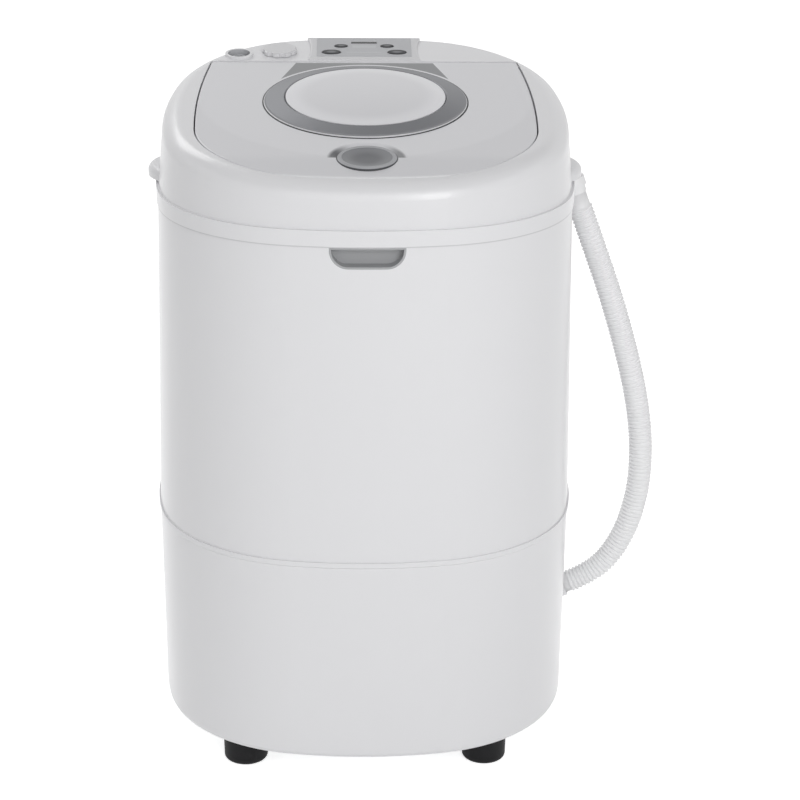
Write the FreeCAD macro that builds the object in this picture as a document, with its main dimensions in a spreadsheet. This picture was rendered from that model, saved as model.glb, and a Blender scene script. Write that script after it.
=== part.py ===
import FreeCAD, Part
import math
import os
import re

import Sketcher

V = FreeCAD.Vector
UP = V(0, 0, 1)

# Driving sizes in millimetres and degrees. X is to the right, Y to the back, Z up from the floor.
SIZES = {
    # Plan of the cabinet: four long side arcs joined by four corner arcs
    "half_width": 200, "side_radius": 380, "corner_radius": 153, "wall": 3,
    # Skirt, with a proud rim at the waist
    "foot_height": 30, "skirt_flare": 1.5, "skirt_draft": 0.7, "waist_z": 236, "rim_height": 6,
    "rim_proud": 1.5, "skirt_flange": 15, "skirt_edge": 5,
    # Cabinet shell, with a lip inside the skirt
    "cabinet_inset": 1, "lip_depth": 8, "fit": 0.2,
    # Trim band with the shelf that carries the tub
    "band_z": 539.5, "band_height": 15.5, "band_proud": 0.5, "band_wall": 4.5, "shelf": 3.5,
    # Top cap: drafted walls under a sloping deck with a shallow front facet
    "cap_inset": 2, "cap_draft": 5, "cap_rise": 110, "cap_edge": 18, "cap_rear_edge": 6, "deck_rise": 69.4,
    "deck_tilt": 7.6, "crease_back": 62.3, "facet_tilt": 4, "crease_radius": 170, "reach": 280,
    "cut_depth": 60,
    # Lid outline on the deck
    "lid_inset": 39.5, "lid_mid_y": -15, "lid_front": 21, "lid_rear": 82, "lid_side_radius": 960,
    "lid_front_radius": 560, "lid_corner_radius": 115, "lid_depth": 13, "lid_skin": 2.5, "lid_gap": 1.3,
    "lid_edge": 1.2, "lid_clear": 1.5, "tray_wall": 2.5,
    # Lid hinge
    "hinge_radius": 2.5, "hinge_set": 3.6, "hinge_in": 26.5, "hinge_reach": 23, "hinge_lug": 10,
    "run_fit": 0.06,
    # Ring, window and rear inlay on the lid
    "ring_y": 6.6, "ring_inset": 101.5, "ring_step": 0.8, "ring_rise": 5.2, "ring_lip": 7.5, "ring_skirt": 5,
    "ring_width": 22.1, "ring_bevel": 0.8, "window_gap": 1, "window_edge": 3.4, "window_ledge": 4,
    "window_crown": 4,
    "inlay_gap": 3.5, "inlay_side": 20, "inlay_taper": 14, "inlay_set": 4.5, "inlay_thick": 1.2,
    # Latch button and the finger scoop behind it
    "latch_radius": 27.8, "latch_rim": 2, "latch_lip": 0.9, "latch_proud": 1.2, "latch_dish": 2.6,
    "latch_body": 7, "latch_travel": 3, "scoop_radius": 36.5, "scoop_depth": 3, "move_gap": 0.4,
    "stem_radius": 4, "stem_length": 9,
    # Mouth of the tub
    "mouth_step": 18, "collar_wall": 3, "collar_width": 9, "collar_foot_thick": 3, "seal_thick": 4,
    # Tub
    "tub_y": -25, "tub_floor_z": 212, "tub_room": 20, "tub_taper": 7, "tub_corner": 9, "flange_width": 11,
    "tub_flange_thick": 4,
    # Front grip
    "grip_width": 69, "grip_height": 20, "grip_radius": 17, "grip_depth": 14, "grip_wall": 2,
    # Side handles
    "handle_lift": 2, "handle_height": 11, "handle_half": 34, "handle_radius": 50, "handle_sink": 3,
    "handle_inset": 12, "handle_y": -2, "handle_edge": 7,
    # Console on the rear deck
    "console_half": 57.5, "console_gap": 4, "console_back": 17.5, "console_rise": 0.8, "console_tilt": 2.2,
    "console_skin": 2.2, "console_waist": 3.5, "console_scoop": 140, "console_shoulder": 8, "console_edge": 7,
    "console_foot": 14, "console_round": 2, "film_thick": 0.5, "film_side": 10, "film_front": 8,
    "film_rear": 4,
    # Console buttons and display
    "big_x": 33, "big_y": 18.2, "big_major": 9.6, "big_minor": 5.6, "small_x": 23.2, "small_y": 34.8,
    "small_major": 6.8, "small_minor": 4.1, "key_proud": 1.2, "key_depth": 7, "key_flange": 0.9,
    "display_y": 43.9, "display_width": 26, "display_height": 4.2, "board_drop": 13, "board_thick": 1.6,
    "board_half": 44, "board_front": 9.5, "board_length": 43, "post_radius": 2, "post_inset": 2,
    # Level knob and switch
    "knob_x": -85, "knob_back": 27, "knob_radius": 17.6, "knob_height": 4.4, "knob_lobes": 9, "lobe_cut": 2,
    "spindle_radius": 3, "spindle_length": 18, "switch_radius": 16, "switch_height": 24,
    # Water inlet
    "inlet_x": -125.4, "inlet_back": 17.5, "inlet_bore": 11, "inlet_wall": 1.5, "inlet_lip": 1.3,
    "inlet_rise": 2.6, "inlet_well": 10, "nozzle_radius": 7, "nozzle_bore": 5, "nozzle_tail": 12,
    "valve_bore": 3.5, "valve_radius": 12.5, "valve_height": 40,
    # Wash drive
    "shaft_radius": 8.5, "shaft_top": 241, "shaft_foot": 70, "bearing_radius": 20, "bearing_width": 12,
    "housing_radius": 26, "housing_flange": 62, "housing_flange_thick": 6, "housing_foot": 128,
    "seal_width": 6, "pulsator_radius": 92, "pulsator_gap": 3, "pulsator_rim": 6, "pulsator_rise": 16,
    "vane_height": 12, "vane_width": 9, "vanes": 6, "hub_cap": 24,
    # Belt drive
    "belt_centres": 125, "belt_angle": 118.6, "belt_z": 86, "belt_width": 9, "belt_thick": 6,
    "big_groove": 77, "small_groove": 14, "groove_depth": 8, "groove_side": 0.6, "rim_wall": 3,
    "belt_fit": 0.3, "web_thick": 5, "web_holes": 5, "hub_radius": 18, "nut_radius": 13, "nut_height": 8,
    # Motor
    "motor_radius": 48, "motor_height": 78, "motor_shaft": 6, "motor_step": 6, "plate_z": 114,
    "plate_thick": 4, "plate_half_x": 60, "plate_half_y": 62, "plate_corner": 12, "mount_front": 10,
    "mount_rear": 45, "mount_half": 48, "mount_radius": 10, "mount_height": 12, "pillar_radius": 9,
    "bolt_radius": 3, "bolt_head": 5.5, "bolt_head_height": 4, "bolt_bite": 16, "can_radius": 15,
    "can_height": 52, "can_x": 112, "can_y": -60,
    # Base plate, feet and cord gland
    "plate_floor": 4, "plate_gap": 0.5, "foot_in_x": 84.5, "foot_in_y": 63, "foot_radius": 22,
    "foot_toe": 21.4, "foot_round": 5, "foot_bore": 8, "foot_seat": 14, "screw_radius": 4, "screw_head": 7,
    "screw_length": 30, "boss_radius": 22, "vent_radius": 5, "vent_ring": 75, "vents": 14, "gland_z": 78,
    "gland_radius": 9, "gland_flange": 13, "gland_bore": 4,
    # Drain from the tub to the outlet
    "drain_in": 26.06, "drain_angle": 59.44, "drain_radius": 10, "drain_wall": 2.5, "grate_radius": 13,
    "grate_thick": 2, "grate_hole": 1.5, "drain_bend": 26, "outlet_out": 2.5, "outlet_z": 83.7,
    "outlet_tilt": 20, "outlet_run": 40, "outlet_bend": 45, "outlet_radius": 14.5, "outlet_depth": 26,
    "spigot_radius": 8.8, "spigot_length": 18, "spigot_bore": 7, "quarter_turn": 90,
    # Corrugated drain hose and its parked end
    "hose_radius": 12.3, "hose_root": 10.9, "hose_bore": 9.3, "rib_pitch": 4.2, "hose_plain": 15,
    "first_run": 43, "run_share": 0.45, "clamp_radius": 13, "clamp_width": 7, "cuff_radius": 11.5,
    "cuff_bore": 7.5, "cuff_length": 22, "holder_wall": 2, "holder_width": 9, "holder_web": 6,
}

# Sizes that follow others through a named margin
FOLLOWING = {
    "skirt_half": "half_width + skirt_flare", "cabinet_top_half": "half_width - cabinet_inset",
    "band_half": "half_width + band_proud", "cap_half": "half_width - cap_inset",
    "deck_z": "band_z + band_height + deck_rise", "crease_y": "crease_back - half_width",
    "lid_half": "half_width - lid_inset", "lid_front_y": "lid_front - half_width",
    "lid_rear_y": "half_width - lid_rear", "hinge_x": "lid_half - hinge_in",
    "ring_radius": "half_width - ring_inset", "ring_seat": "ring_radius - ring_lip",
    "window_radius": "ring_radius - ring_width", "inlay_radius": "ring_radius + inlay_gap",
    "inlay_foot": "inlay_radius - inlay_side", "inlay_head": "inlay_foot - inlay_taper",
    "inlay_y": "ring_y + sqrt(inlay_radius^2 - inlay_foot^2)",
    "tub_top": "half_width + tub_y - tub_room", "tub_low": "tub_top - tub_taper",
    "tub_flange": "tub_top + flange_width", "mouth_radius": "tub_top - mouth_step",
    "collar_foot": "tub_top + collar_width", "drain_reach": "tub_low - drain_in",
    "drain_x": "drain_reach * cos(drain_angle)", "drain_y": "tub_y + drain_reach * sin(drain_angle)",
    "handle_z": "band_z + band_height + handle_lift",
    "handle_root": "cap_half - handle_sink", "console_y": "lid_rear_y + console_gap",
    "console_rear": "half_width - console_back", "console_cut": "console_half - console_shoulder",
    "film_half": "console_half - film_side",
    "film_length": "console_rear - console_y - film_front - film_rear",
    "knob_y": "lid_rear_y + knob_back", "inlet_y": "lid_rear_y + inlet_back",
    "foot_x": "skirt_half - foot_in_x", "foot_y": "skirt_half - foot_in_y",
    "outlet_x": "skirt_half + outlet_out",
}

# Distance under which two points count as one, and share of a full turn up that counts as level
TOUCH = 0.01
LEVEL = 0.95

doc = FreeCAD.newDocument("mini_washing_machine")
sheet = doc.addObject("Spreadsheet::Sheet", "Sizes")
NAMES = list(SIZES) + list(FOLLOWING)
for row, name in enumerate(NAMES, start=1):
    sheet.set(f"A{row}", name)
    sheet.setAlias(f"B{row}", name)
    sheet.set(f"B{row}", str(SIZES[name]) if name in SIZES else "=" + FOLLOWING[name])
doc.recompute()

TRIG = {"sin": math.sin, "cos": math.cos, "tan": math.tan}
DOME = "dome"
parts = []


def factor(word):
    """One size name, plain number or sin, cos or tan of a size."""
    if "(" in word:
        name, inner = word.rstrip(")").split("(")
        return TRIG[name](math.radians(factor(inner)))
    return float(sheet.get(word)) if word in NAMES else float(word)


def term(word):
    """A product such as 2*wall or belt_centres*cos(belt_angle)."""
    return math.prod(factor(piece) for piece in word.split("*"))


def size(text):
    """The value of a sum of terms with spaces round its plus and minus signs."""
    total, sign = 0.0, 1.0
    for word in text.split():
        if word in ("+", "-"):
            sign = 1.0 if word == "+" else -1.0
        else:
            total += sign * term(word)
    return total


def link(text):
    """The same sum as an expression that follows the sheet."""
    return re.sub(r"[a-z_]+(?![a-z_(])", lambda found: "Sizes." + found.group(), text)


def part(obj, label):
    """Name an object as a finished sub-part."""
    obj.Label = label
    parts.append(obj)
    return obj


def new_body(name):
    return doc.addObject("PartDesign::Body", name)


def origin(body, role):
    return next(item for item in body.Origin.OriginFeatures if item.Role == role)


def place(obj, x="0", y="0", z="0", turn=None, axis=V(1, 0, 0)):
    """Put an object at a point, turned about one axis, both bound to the sheet."""
    angle = size(turn) if turn else 0
    obj.Placement = FreeCAD.Placement(V(size(x), size(y), size(z)), FreeCAD.Rotation(axis, angle))
    for letter, text in zip("xyz", (x, y, z)):
        obj.setExpression("Placement.Base." + letter, link(text))
    if turn:
        obj.setExpression("Placement.Rotation.Angle", link(turn))
    return obj


def on_slope(obj, foot_y, foot_z, turn, x, y, lift):
    """Put an object on a sloping face: at x, a distance y up the slope, lifted along its normal."""
    angle = math.radians(size(turn))
    run = size(y) * math.cos(angle) - size(lift) * math.sin(angle)
    rise = size(y) * math.sin(angle) + size(lift) * math.cos(angle)
    spin = FreeCAD.Rotation(V(1, 0, 0), size(turn))
    obj.Placement = FreeCAD.Placement(V(size(x), size(foot_y) + run, size(foot_z) + rise), spin)
    up, out, tilt = link(y), link(lift), link(turn)
    obj.setExpression("Placement.Base.x", link(x))
    obj.setExpression("Placement.Base.y", f"{link(foot_y)} + ({up}) * cos({tilt}) - ({out}) * sin({tilt})")
    obj.setExpression("Placement.Base.z", f"{link(foot_z)} + ({up}) * sin({tilt}) + ({out}) * cos({tilt})")
    obj.setExpression("Placement.Rotation.Angle", tilt)
    return obj


def on_deck(obj, x="0", y="0", lift="0"):
    """Put an object on the sloping deck, whose slope starts above the middle of the base."""
    return on_slope(obj, "0", "deck_z", "deck_tilt", x, y, lift)


def on_console(obj, x="0", y="0", lift="0"):
    """Put an object on the console's face, whose slope starts at the face's front edge."""
    foot_y = "console_y*cos(deck_tilt) - console_rise*sin(deck_tilt)"
    foot_z = "deck_z + console_y*sin(deck_tilt) + console_rise*cos(deck_tilt)"
    return on_slope(obj, foot_y, foot_z, "deck_tilt + console_tilt", x, y, lift)


def sketch(body, role="XY_Plane", height=None):
    drawing = body.newObject("Sketcher::SketchObject", body.Name + "_sketch")
    drawing.AttachmentSupport = [(origin(body, role), "")]
    drawing.MapMode = "FlatFace"
    if height:
        drawing.AttachmentOffset = FreeCAD.Placement(V(0, 0, size(height)), FreeCAD.Rotation())
        drawing.setExpression("AttachmentOffset.Base.z", link(height))
    return drawing


def bind(drawing, constraint, text):
    """Add a sized constraint and tie it to the sheet."""
    index = drawing.addConstraint(constraint)
    drawing.setExpression(f"Constraints[{index}]", link(text))


def pin_point(drawing, geometry, corner, x, y):
    """Hold a sketch point at a place given by two sums of sizes."""
    for text, kind, axis in ((x, "DistanceX", -2), (y, "DistanceY", -1)):
        if text == "0":
            drawing.addConstraint(Sketcher.Constraint("PointOnObject", geometry, corner, axis))
        else:
            bind(drawing, Sketcher.Constraint(kind, -1, 1, geometry, corner, size(text)), text)


def arc_between(start, end, radius, side):
    """The short arc from start to end; side 1 turns left on the way, side -1 turns right."""
    middle = (start + end) * 0.5
    chord = end - start
    height = math.sqrt(max(radius ** 2 - (chord.Length / 2) ** 2, 0.0))
    left = UP.cross(chord).normalize()
    centre = middle + left * (height * side)
    first, last = (start, end) if side > 0 else (end, start)
    angles = [math.atan2(point.y - centre.y, point.x - centre.x) for point in (first, last)]
    return Part.ArcOfCircle(Part.Circle(centre, UP, radius), *angles)


def dome_radius(start, end):
    """The radius of the arc through two points whose centre lies on the Y axis."""
    middle = (start.x ** 2 + start.y ** 2 - end.x ** 2 - end.y ** 2) / (2 * (start.y - end.y))
    return math.hypot(start.x, start.y - middle)


def outline(drawing, corners):
    """A closed outline. A corner is (x, y), or (x, y, radius, side) where an arc leads to it.

    A radius given as DOME puts the arc's centre on the Y axis instead.
    """
    points = [V(size(corner[0]), size(corner[1]), 0) for corner in corners]
    ends = []
    for number, corner in enumerate(corners):
        start, end = points[number - 1], points[number]
        if len(corner) == 4:
            radius = dome_radius(start, end) if corner[2] == DOME else size(corner[2])
            index = drawing.addGeometry(arc_between(start, end, radius, corner[3]))
            ends.append((index, 1, 2) if corner[3] > 0 else (index, 2, 1))
        else:
            ends.append((drawing.addGeometry(Part.LineSegment(start, end)), 1, 2))
    for number, corner in enumerate(corners):
        index, _, tail = ends[number]
        after, head, _ = ends[(number + 1) % len(ends)]
        drawing.addConstraint(Sketcher.Constraint("Coincident", index, tail, after, head))
        pin_point(drawing, index, tail, corner[0], corner[1])
        if len(corner) == 4 and corner[2] == DOME:
            drawing.addConstraint(Sketcher.Constraint("PointOnObject", index, 3, -2))
        elif len(corner) == 4:
            bind(drawing, Sketcher.Constraint("Radius", index, size(corner[2])), corner[2])


def circle(drawing, radius, x="0", y="0"):
    index = drawing.addGeometry(Part.Circle(V(size(x), size(y), 0), UP, size(radius)))
    bind(drawing, Sketcher.Constraint("Radius", index, size(radius)), radius)
    pin_point(drawing, index, 3, x, y)


def tangent_ring(drawing, arcs):
    """Join a closed ring of arcs end to start, each smooth to the next."""
    indices = [drawing.addGeometry(arc) for arc in arcs]
    for index, after in zip(indices, indices[1:] + indices[:1]):
        drawing.addConstraint(Sketcher.Constraint("Tangent", index, 2, after, 1))
    return indices


def rounded_square(drawing, half):
    """The cabinet's plan at one half-width: side arcs and corner arcs that keep their centres."""
    side = f"side_radius + {half} - half_width"
    corner = f"corner_radius + {half} - half_width"
    side_radius, corner_radius = size(side), size(corner)
    back = side_radius - size(half)
    reach = side_radius - corner_radius
    inset = (-back + math.sqrt(2 * reach ** 2 - back ** 2)) / 2
    lean = math.asin(inset / reach)
    arcs = []
    for quarter in range(4):
        turn = quarter * math.pi / 2
        spin = FreeCAD.Rotation(UP, math.degrees(turn))
        middle = Part.Circle(spin.multVec(V(-back, 0, 0)), UP, side_radius)
        arcs.append(Part.ArcOfCircle(middle, turn - lean, turn + lean))
        bend = Part.Circle(spin.multVec(V(inset, inset, 0)), UP, corner_radius)
        arcs.append(Part.ArcOfCircle(bend, turn + lean, turn + math.pi / 2 - lean))
    indices = tangent_ring(drawing, arcs)
    for group, text in ((indices[0::2], side), (indices[1::2], corner)):
        bind(drawing, Sketcher.Constraint("Radius", group[0], size(text)), text)
        for other in group[1:]:
            drawing.addConstraint(Sketcher.Constraint("Equal", group[0], other))
    outward, inward = "half_width - side_radius", "side_radius - half_width"
    for index, x, y in zip(indices[0::2], (outward, "0", inward, "0"), ("0", outward, "0", inward)):
        pin_point(drawing, index, 3, x, y)


def lid_outline(drawing, grow):
    """The lid's plan on the deck, grown by a margin: straight rear edge, arcs on the other sides."""
    side, front, corner = (f"{name} + {grow}" for name in
                           ("lid_side_radius", "lid_front_radius", "lid_corner_radius"))
    side_radius, front_radius, corner_radius = size(side), size(front), size(corner)
    side_x, mid_y = size("lid_half") - size("lid_side_radius"), size("lid_mid_y")
    front_y = size("lid_front_y + lid_front_radius")
    rear_y = size(f"lid_rear_y + {grow}")
    far, near = side_radius - corner_radius, front_radius - corner_radius
    across = V(-side_x, front_y - mid_y, 0)
    along = (far ** 2 - near ** 2 + across.Length ** 2) / (2 * across.Length)
    off = math.sqrt(far ** 2 - along ** 2)
    unit = across.normalize()
    bend = V(side_x, mid_y, 0) + unit * along + V(unit.y, -unit.x, 0) * off
    low = math.atan2(bend.y - mid_y, bend.x - side_x)
    high = math.asin((rear_y - mid_y) / side_radius)
    toe = math.atan2(bend.y - front_y, bend.x)

    def mirrored(centre, radius, first, last):
        flipped = V(-centre.x, centre.y, 0)
        return Part.ArcOfCircle(Part.Circle(flipped, UP, radius), math.pi - last, math.pi - first)

    right = Part.ArcOfCircle(Part.Circle(V(side_x, mid_y, 0), UP, side_radius), low, high)
    right_bend = Part.ArcOfCircle(Part.Circle(bend, UP, corner_radius), toe, low)
    nose = Part.ArcOfCircle(Part.Circle(V(0, front_y, 0), UP, front_radius), math.pi - toe, toe)
    left_bend = mirrored(bend, corner_radius, toe, low)
    left = mirrored(V(side_x, mid_y, 0), side_radius, low, high)
    chain = [drawing.addGeometry(arc) for arc in (left, left_bend, nose, right_bend, right)]
    rear = drawing.addGeometry(Part.LineSegment(right.EndPoint, left.StartPoint))
    for index, after in zip(chain, chain[1:]):
        drawing.addConstraint(Sketcher.Constraint("Tangent", index, 2, after, 1))
    drawing.addConstraint(Sketcher.Constraint("Coincident", chain[-1], 2, rear, 1))
    drawing.addConstraint(Sketcher.Constraint("Coincident", rear, 2, chain[0], 1))
    for index, text in zip(chain, (side, corner, front, corner, side)):
        bind(drawing, Sketcher.Constraint("Radius", index, size(text)), text)
    pin_point(drawing, chain[2], 3, "0", "lid_front_y + lid_front_radius")
    pin_point(drawing, chain[0], 3, "lid_side_radius - lid_half", "lid_mid_y")
    pin_point(drawing, chain[4], 3, "lid_half - lid_side_radius", "lid_mid_y")
    drawing.addConstraint(Sketcher.Constraint("Horizontal", rear))
    bind(drawing, Sketcher.Constraint("DistanceY", -1, 1, rear, 1, rear_y), f"lid_rear_y + {grow}")


def pad(body, drawing, length, reverse=False, both=False):
    feature = body.newObject("PartDesign::Pad", body.Name + "_pad")
    feature.Profile = drawing
    feature.Length = size(length)
    feature.setExpression("Length", link(length))
    feature.Reversed = reverse
    if both:
        feature.SideType = "Symmetric"
    return feature


def pocket(body, drawing, length=None, reverse=False):
    """Cut a sketch into the body: to a depth, or right through. The cut has to take something away."""
    doc.recompute()
    before = body.Shape.Volume
    feature = body.newObject("PartDesign::Pocket", body.Name + "_pocket")
    feature.Profile = drawing
    feature.Reversed = reverse
    if length:
        feature.Length = size(length)
        feature.setExpression("Length", link(length))
    else:
        feature.Type = "ThroughAll"
    doc.recompute()
    if body.Shape.Volume >= before:
        raise RuntimeError(f"a pocket of {body.Name} removes nothing")
    return feature


def revolve(body, drawing, kind="Revolution"):
    feature = body.newObject("PartDesign::" + kind, body.Name + "_turned")
    feature.Profile = drawing
    feature.ReferenceAxis = (drawing, ["V_Axis"])
    feature.Angle = 360
    return feature


def polar(body, feature, count):
    """Repeat a feature round the body's Z axis."""
    pattern = body.newObject("PartDesign::PolarPattern", body.Name + "_ring")
    pattern.Originals = [feature]
    pattern.Axis = (origin(body, "Z_Axis"), [""])
    pattern.Angle = 360
    pattern.Occurrences = int(size(count))
    pattern.setExpression("Occurrences", link(count))
    body.Tip = pattern
    return pattern


def loft(body, levels, kind="AdditiveLoft"):
    """A ruled skin through the cabinet's plan at several heights, given as (height, half-width)."""
    sections = []
    for height, half in levels:
        drawing = sketch(body, "XY_Plane", height)
        rounded_square(drawing, half)
        sections.append(drawing)
    feature = body.newObject("PartDesign::" + kind, body.Name + "_loft")
    feature.Profile = sections[0]
    feature.Sections = sections[1:]
    feature.Ruled = True
    return feature


def turned(name, corners):
    """A body turned about its Z axis from an outline of radii and heights."""
    body = new_body(name)
    drawing = sketch(body, "XZ_Plane")
    outline(drawing, corners)
    revolve(body, drawing)
    return body


def prism(name, draw, length, height=None, role="XY_Plane", both=False, reverse=False):
    """A body padded from one drawing."""
    body = new_body(name)
    drawing = sketch(body, role, height)
    draw(drawing)
    pad(body, drawing, length, reverse, both)
    return body


def boolean(kind, name, base, tool):
    result = doc.addObject("Part::" + kind, name)
    result.Base, result.Tool = base, tool
    return result


def fuse(name, *shapes):
    result = doc.addObject("Part::MultiFuse", name)
    result.Shapes = list(shapes)
    return result


def compound(label, shapes):
    group = doc.addObject("Part::Compound", label)
    group.Links = shapes
    return part(group, label)


def cylinder(name, radius, height):
    """A plain cylinder bound to the sheet."""
    shape = doc.addObject("Part::Cylinder", name)
    for prop, text in (("Radius", radius), ("Height", height)):
        setattr(shape, prop, size(text))
        shape.setExpression(prop, link(text))
    return shape


def box(name, length, width, height):
    """A plain box bound to the sheet."""
    shape = doc.addObject("Part::Box", name)
    for prop, text in (("Length", length), ("Width", width), ("Height", height)):
        setattr(shape, prop, size(text))
        shape.setExpression(prop, link(text))
    return shape


def rounded(name, base, radius, wanted):
    """Round the chosen edges of an object, with a radius that may differ from point to point."""
    doc.recompute()
    result = doc.addObject("Part::Fillet", name)
    result.Base = base
    radius_at = radius if callable(radius) else lambda point: size(radius)
    rounds = []
    for number, edge in enumerate(base.Shape.Edges, 1):
        if wanted(edge):
            ends = (edge.valueAt(edge.FirstParameter), edge.valueAt(edge.LastParameter))
            rounds.append((number, *map(radius_at, ends)))
    result.Edges = rounds
    return result


def rounded_path(points, radii):
    """A wire of straight runs joined by tangent arcs of the given radii at its inner points."""
    edges = []
    start = points[0]
    for before, point, after, radius in zip(points, points[1:], points[2:], radii):
        back, ahead = (before - point).normalize(), (after - point).normalize()
        half_turn = (math.pi - back.getAngle(ahead)) / 2
        setback = radius * math.tan(half_turn)
        first, last = point + back * setback, point + ahead * setback
        inward = (back + ahead).normalize()
        middle = point + inward * (radius / math.cos(half_turn) - radius)
        edges += [Part.LineSegment(start, first).toShape(), Part.Arc(first, middle, last).toShape()]
        start = last
    edges.append(Part.LineSegment(start, points[-1]).toShape())
    return Part.Wire(edges)


def tube(path, radius):
    """A round bar of one radius along a wire."""
    start = path.Edges[0]
    ring = Part.Wire(Part.makeCircle(radius, start.valueAt(start.FirstParameter),
                                     start.tangentAt(start.FirstParameter)))
    return path.makePipeShell([ring], True, False)


# Heights and half-widths that several shells share
SKIRT_TOP = ("skirt_half + waist_z*tan(skirt_draft) - rim_height*tan(skirt_draft)"
             " - foot_height*tan(skirt_draft)")
WAIST = SKIRT_TOP + " + rim_proud"
LIP = SKIRT_TOP + " - wall - fit - lip_depth*tan(skirt_draft)"
CAP_Z = "band_z + band_height"
SHELF_Z = "band_z + shelf"
FLANGE_Z = SHELF_Z + " + tub_flange_thick"
COLLAR_Z = FLANGE_Z + " + seal_thick"
PLATE_Z = "foot_height + wall"
PLATE_TOP = PLATE_Z + " + plate_floor"
PILLAR_TOP = "plate_z - mount_height"
TUB_BED = "tub_floor_z + wall"
PULSATOR_Z = TUB_BED + " + pulsator_gap"
HUB_Z = PULSATOR_Z + " + pulsator_rise + 0.3*vane_height"
MOTOR_X = "belt_centres*cos(belt_angle)"
MOTOR_Y = "tub_y + belt_centres*sin(belt_angle)"
MOTOR_Z = "plate_z + plate_thick"
GROOVE_FOOT = "belt_z - groove_side"
GROOVE_TOP = "belt_z + belt_width + groove_side"


def top_profile(drawing, drop):
    """Side view of all that lies under the top face, lowered by a drop: deck, blend and front facet."""
    reach, facet = size("reach"), math.radians(size("facet_tilt"))
    crease, low = size("crease_y"), -size(drop)
    radius = size("crease_radius")
    setback = radius * math.tan(facet / 2)
    front = V(-reach, low - (reach + crease) * math.tan(facet), 0)
    blend_foot = V(crease - setback * math.cos(facet), low - setback * math.sin(facet), 0)
    blend_head = V(crease + setback, low, 0)
    rear = V(reach, low, 0)
    floor_rear, floor_front = V(reach, low - reach, 0), V(-reach, low - reach, 0)
    slope = drawing.addGeometry(Part.LineSegment(front, blend_foot))
    blend = drawing.addGeometry(arc_between(blend_foot, blend_head, radius, -1))
    deck = drawing.addGeometry(Part.LineSegment(blend_head, rear))
    walls = [drawing.addGeometry(Part.LineSegment(first, last)) for first, last in
             ((rear, floor_rear), (floor_rear, floor_front), (floor_front, front))]
    crease_mark = drawing.addGeometry(Part.Point(V(crease, low, 0)), True)
    drawing.addConstraint(Sketcher.Constraint("Tangent", slope, 2, blend, 2))
    drawing.addConstraint(Sketcher.Constraint("Tangent", blend, 1, deck, 1))
    for first, last in zip([deck] + walls, walls + [slope]):
        drawing.addConstraint(Sketcher.Constraint("Coincident", first, 2, last, 1))
    drawing.addConstraint(Sketcher.Constraint("Horizontal", deck))
    drawing.addConstraint(Sketcher.Constraint("PointOnObject", crease_mark, 1, slope))
    bind(drawing, Sketcher.Constraint("Radius", blend, radius), "crease_radius")
    lowered = f"- {drop}".replace(" + ", " - ")
    pin_point(drawing, crease_mark, 1, "crease_y", lowered)
    pin_point(drawing, slope, 1, "- reach",
              f"{lowered} - reach*tan(facet_tilt) - crease_y*tan(facet_tilt)")
    pin_point(drawing, deck, 2, "reach", lowered)
    pin_point(drawing, walls[1], 1, "reach", f"{lowered} - reach")
    pin_point(drawing, walls[1], 2, "- reach", f"{lowered} - reach")


def under_top(name, drop):
    """Everything below the top face, lowered by a drop."""
    return on_deck(prism(name, lambda drawing: top_profile(drawing, drop), "2*reach",
                         role="YZ_Plane", both=True))


def deck_prism(name, grow):
    """The lid's outline, grown by a margin, as a prism square to the deck."""
    return on_deck(prism(name, lambda drawing: lid_outline(drawing, grow), "2*cut_depth", "- cut_depth"))


def is_top_edge(edge):
    """An edge that runs round the top of the cap, above its foot and not straight across it."""
    above = min(vertex.Z for vertex in edge.Vertexes) > size(CAP_Z) + TOUCH
    return above and not isinstance(edge.Curve, Part.Line)


def cap_solid(name, inset):
    """The cap's form before its edges are rounded, set in by a wall."""
    block = new_body(name + "_block")
    loft(block, [(CAP_Z, f"cap_half - {inset}"),
                 (CAP_Z + " + cap_rise", f"cap_half - cap_rise*tan(cap_draft) - {inset}")])
    return boolean("Common", name + "_solid", block, under_top(name + "_roof", inset))


def cap_form(name, solid, inset):
    """The cap's solid with rounded edges: soft at the front and sides, crisp at the rear."""
    def radius(point):
        edge = "cap_rear_edge" if point.y > size("lid_rear_y") else "cap_edge"
        return size(f"{edge} - {inset}")

    return rounded(name, solid, radius, is_top_edge)


def skirt_solid(name):
    """The skirt's outer form, from its rounded foot to the proud rim at the waist."""
    body = new_body(name)
    loft(body, [("foot_height", "skirt_half - skirt_edge"),
                ("foot_height + 0.3*skirt_edge", "skirt_half - 0.3*skirt_edge"),
                ("foot_height + skirt_edge", "skirt_half + skirt_edge*tan(skirt_draft)"),
                ("waist_z - rim_height", SKIRT_TOP),
                ("waist_z - rim_height + rim_proud", WAIST), ("waist_z", WAIST)])
    return body


def cabinet_solid(name):
    """The cabinet's outer form above the waist."""
    body = new_body(name)
    loft(body, [("waist_z", SKIRT_TOP), ("band_z", "cabinet_top_half")])
    return body


def foot_places():
    """Signs of the four corners, as prefixes of a size."""
    return [(x, y) for x in ("", "- ") for y in ("", "- ")]


def make_base_skirt(outlet_hole):
    body = skirt_solid("skirt_shell")
    loft(body, [(PLATE_Z, "skirt_half - wall"), ("waist_z", SKIRT_TOP + " - wall")], "SubtractiveLoft")
    opening = sketch(body, "XY_Plane", PLATE_Z)
    rounded_square(opening, "skirt_half - skirt_flange")
    pocket(body, opening)
    bosses = sketch(body, "XY_Plane", PLATE_Z)
    for x, y in foot_places():
        circle(bosses, "boss_radius + plate_gap", x + "foot_x", y + "foot_y")
    pocket(body, bosses)
    cord_hole = sketch(body, "XZ_Plane")
    circle(cord_hole, "gland_radius + fit", "0", "gland_z")
    pocket(body, cord_hole, "half_width + reach")
    part(boolean("Cut", "base_skirt", body, outlet_hole), "base_skirt")


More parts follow.
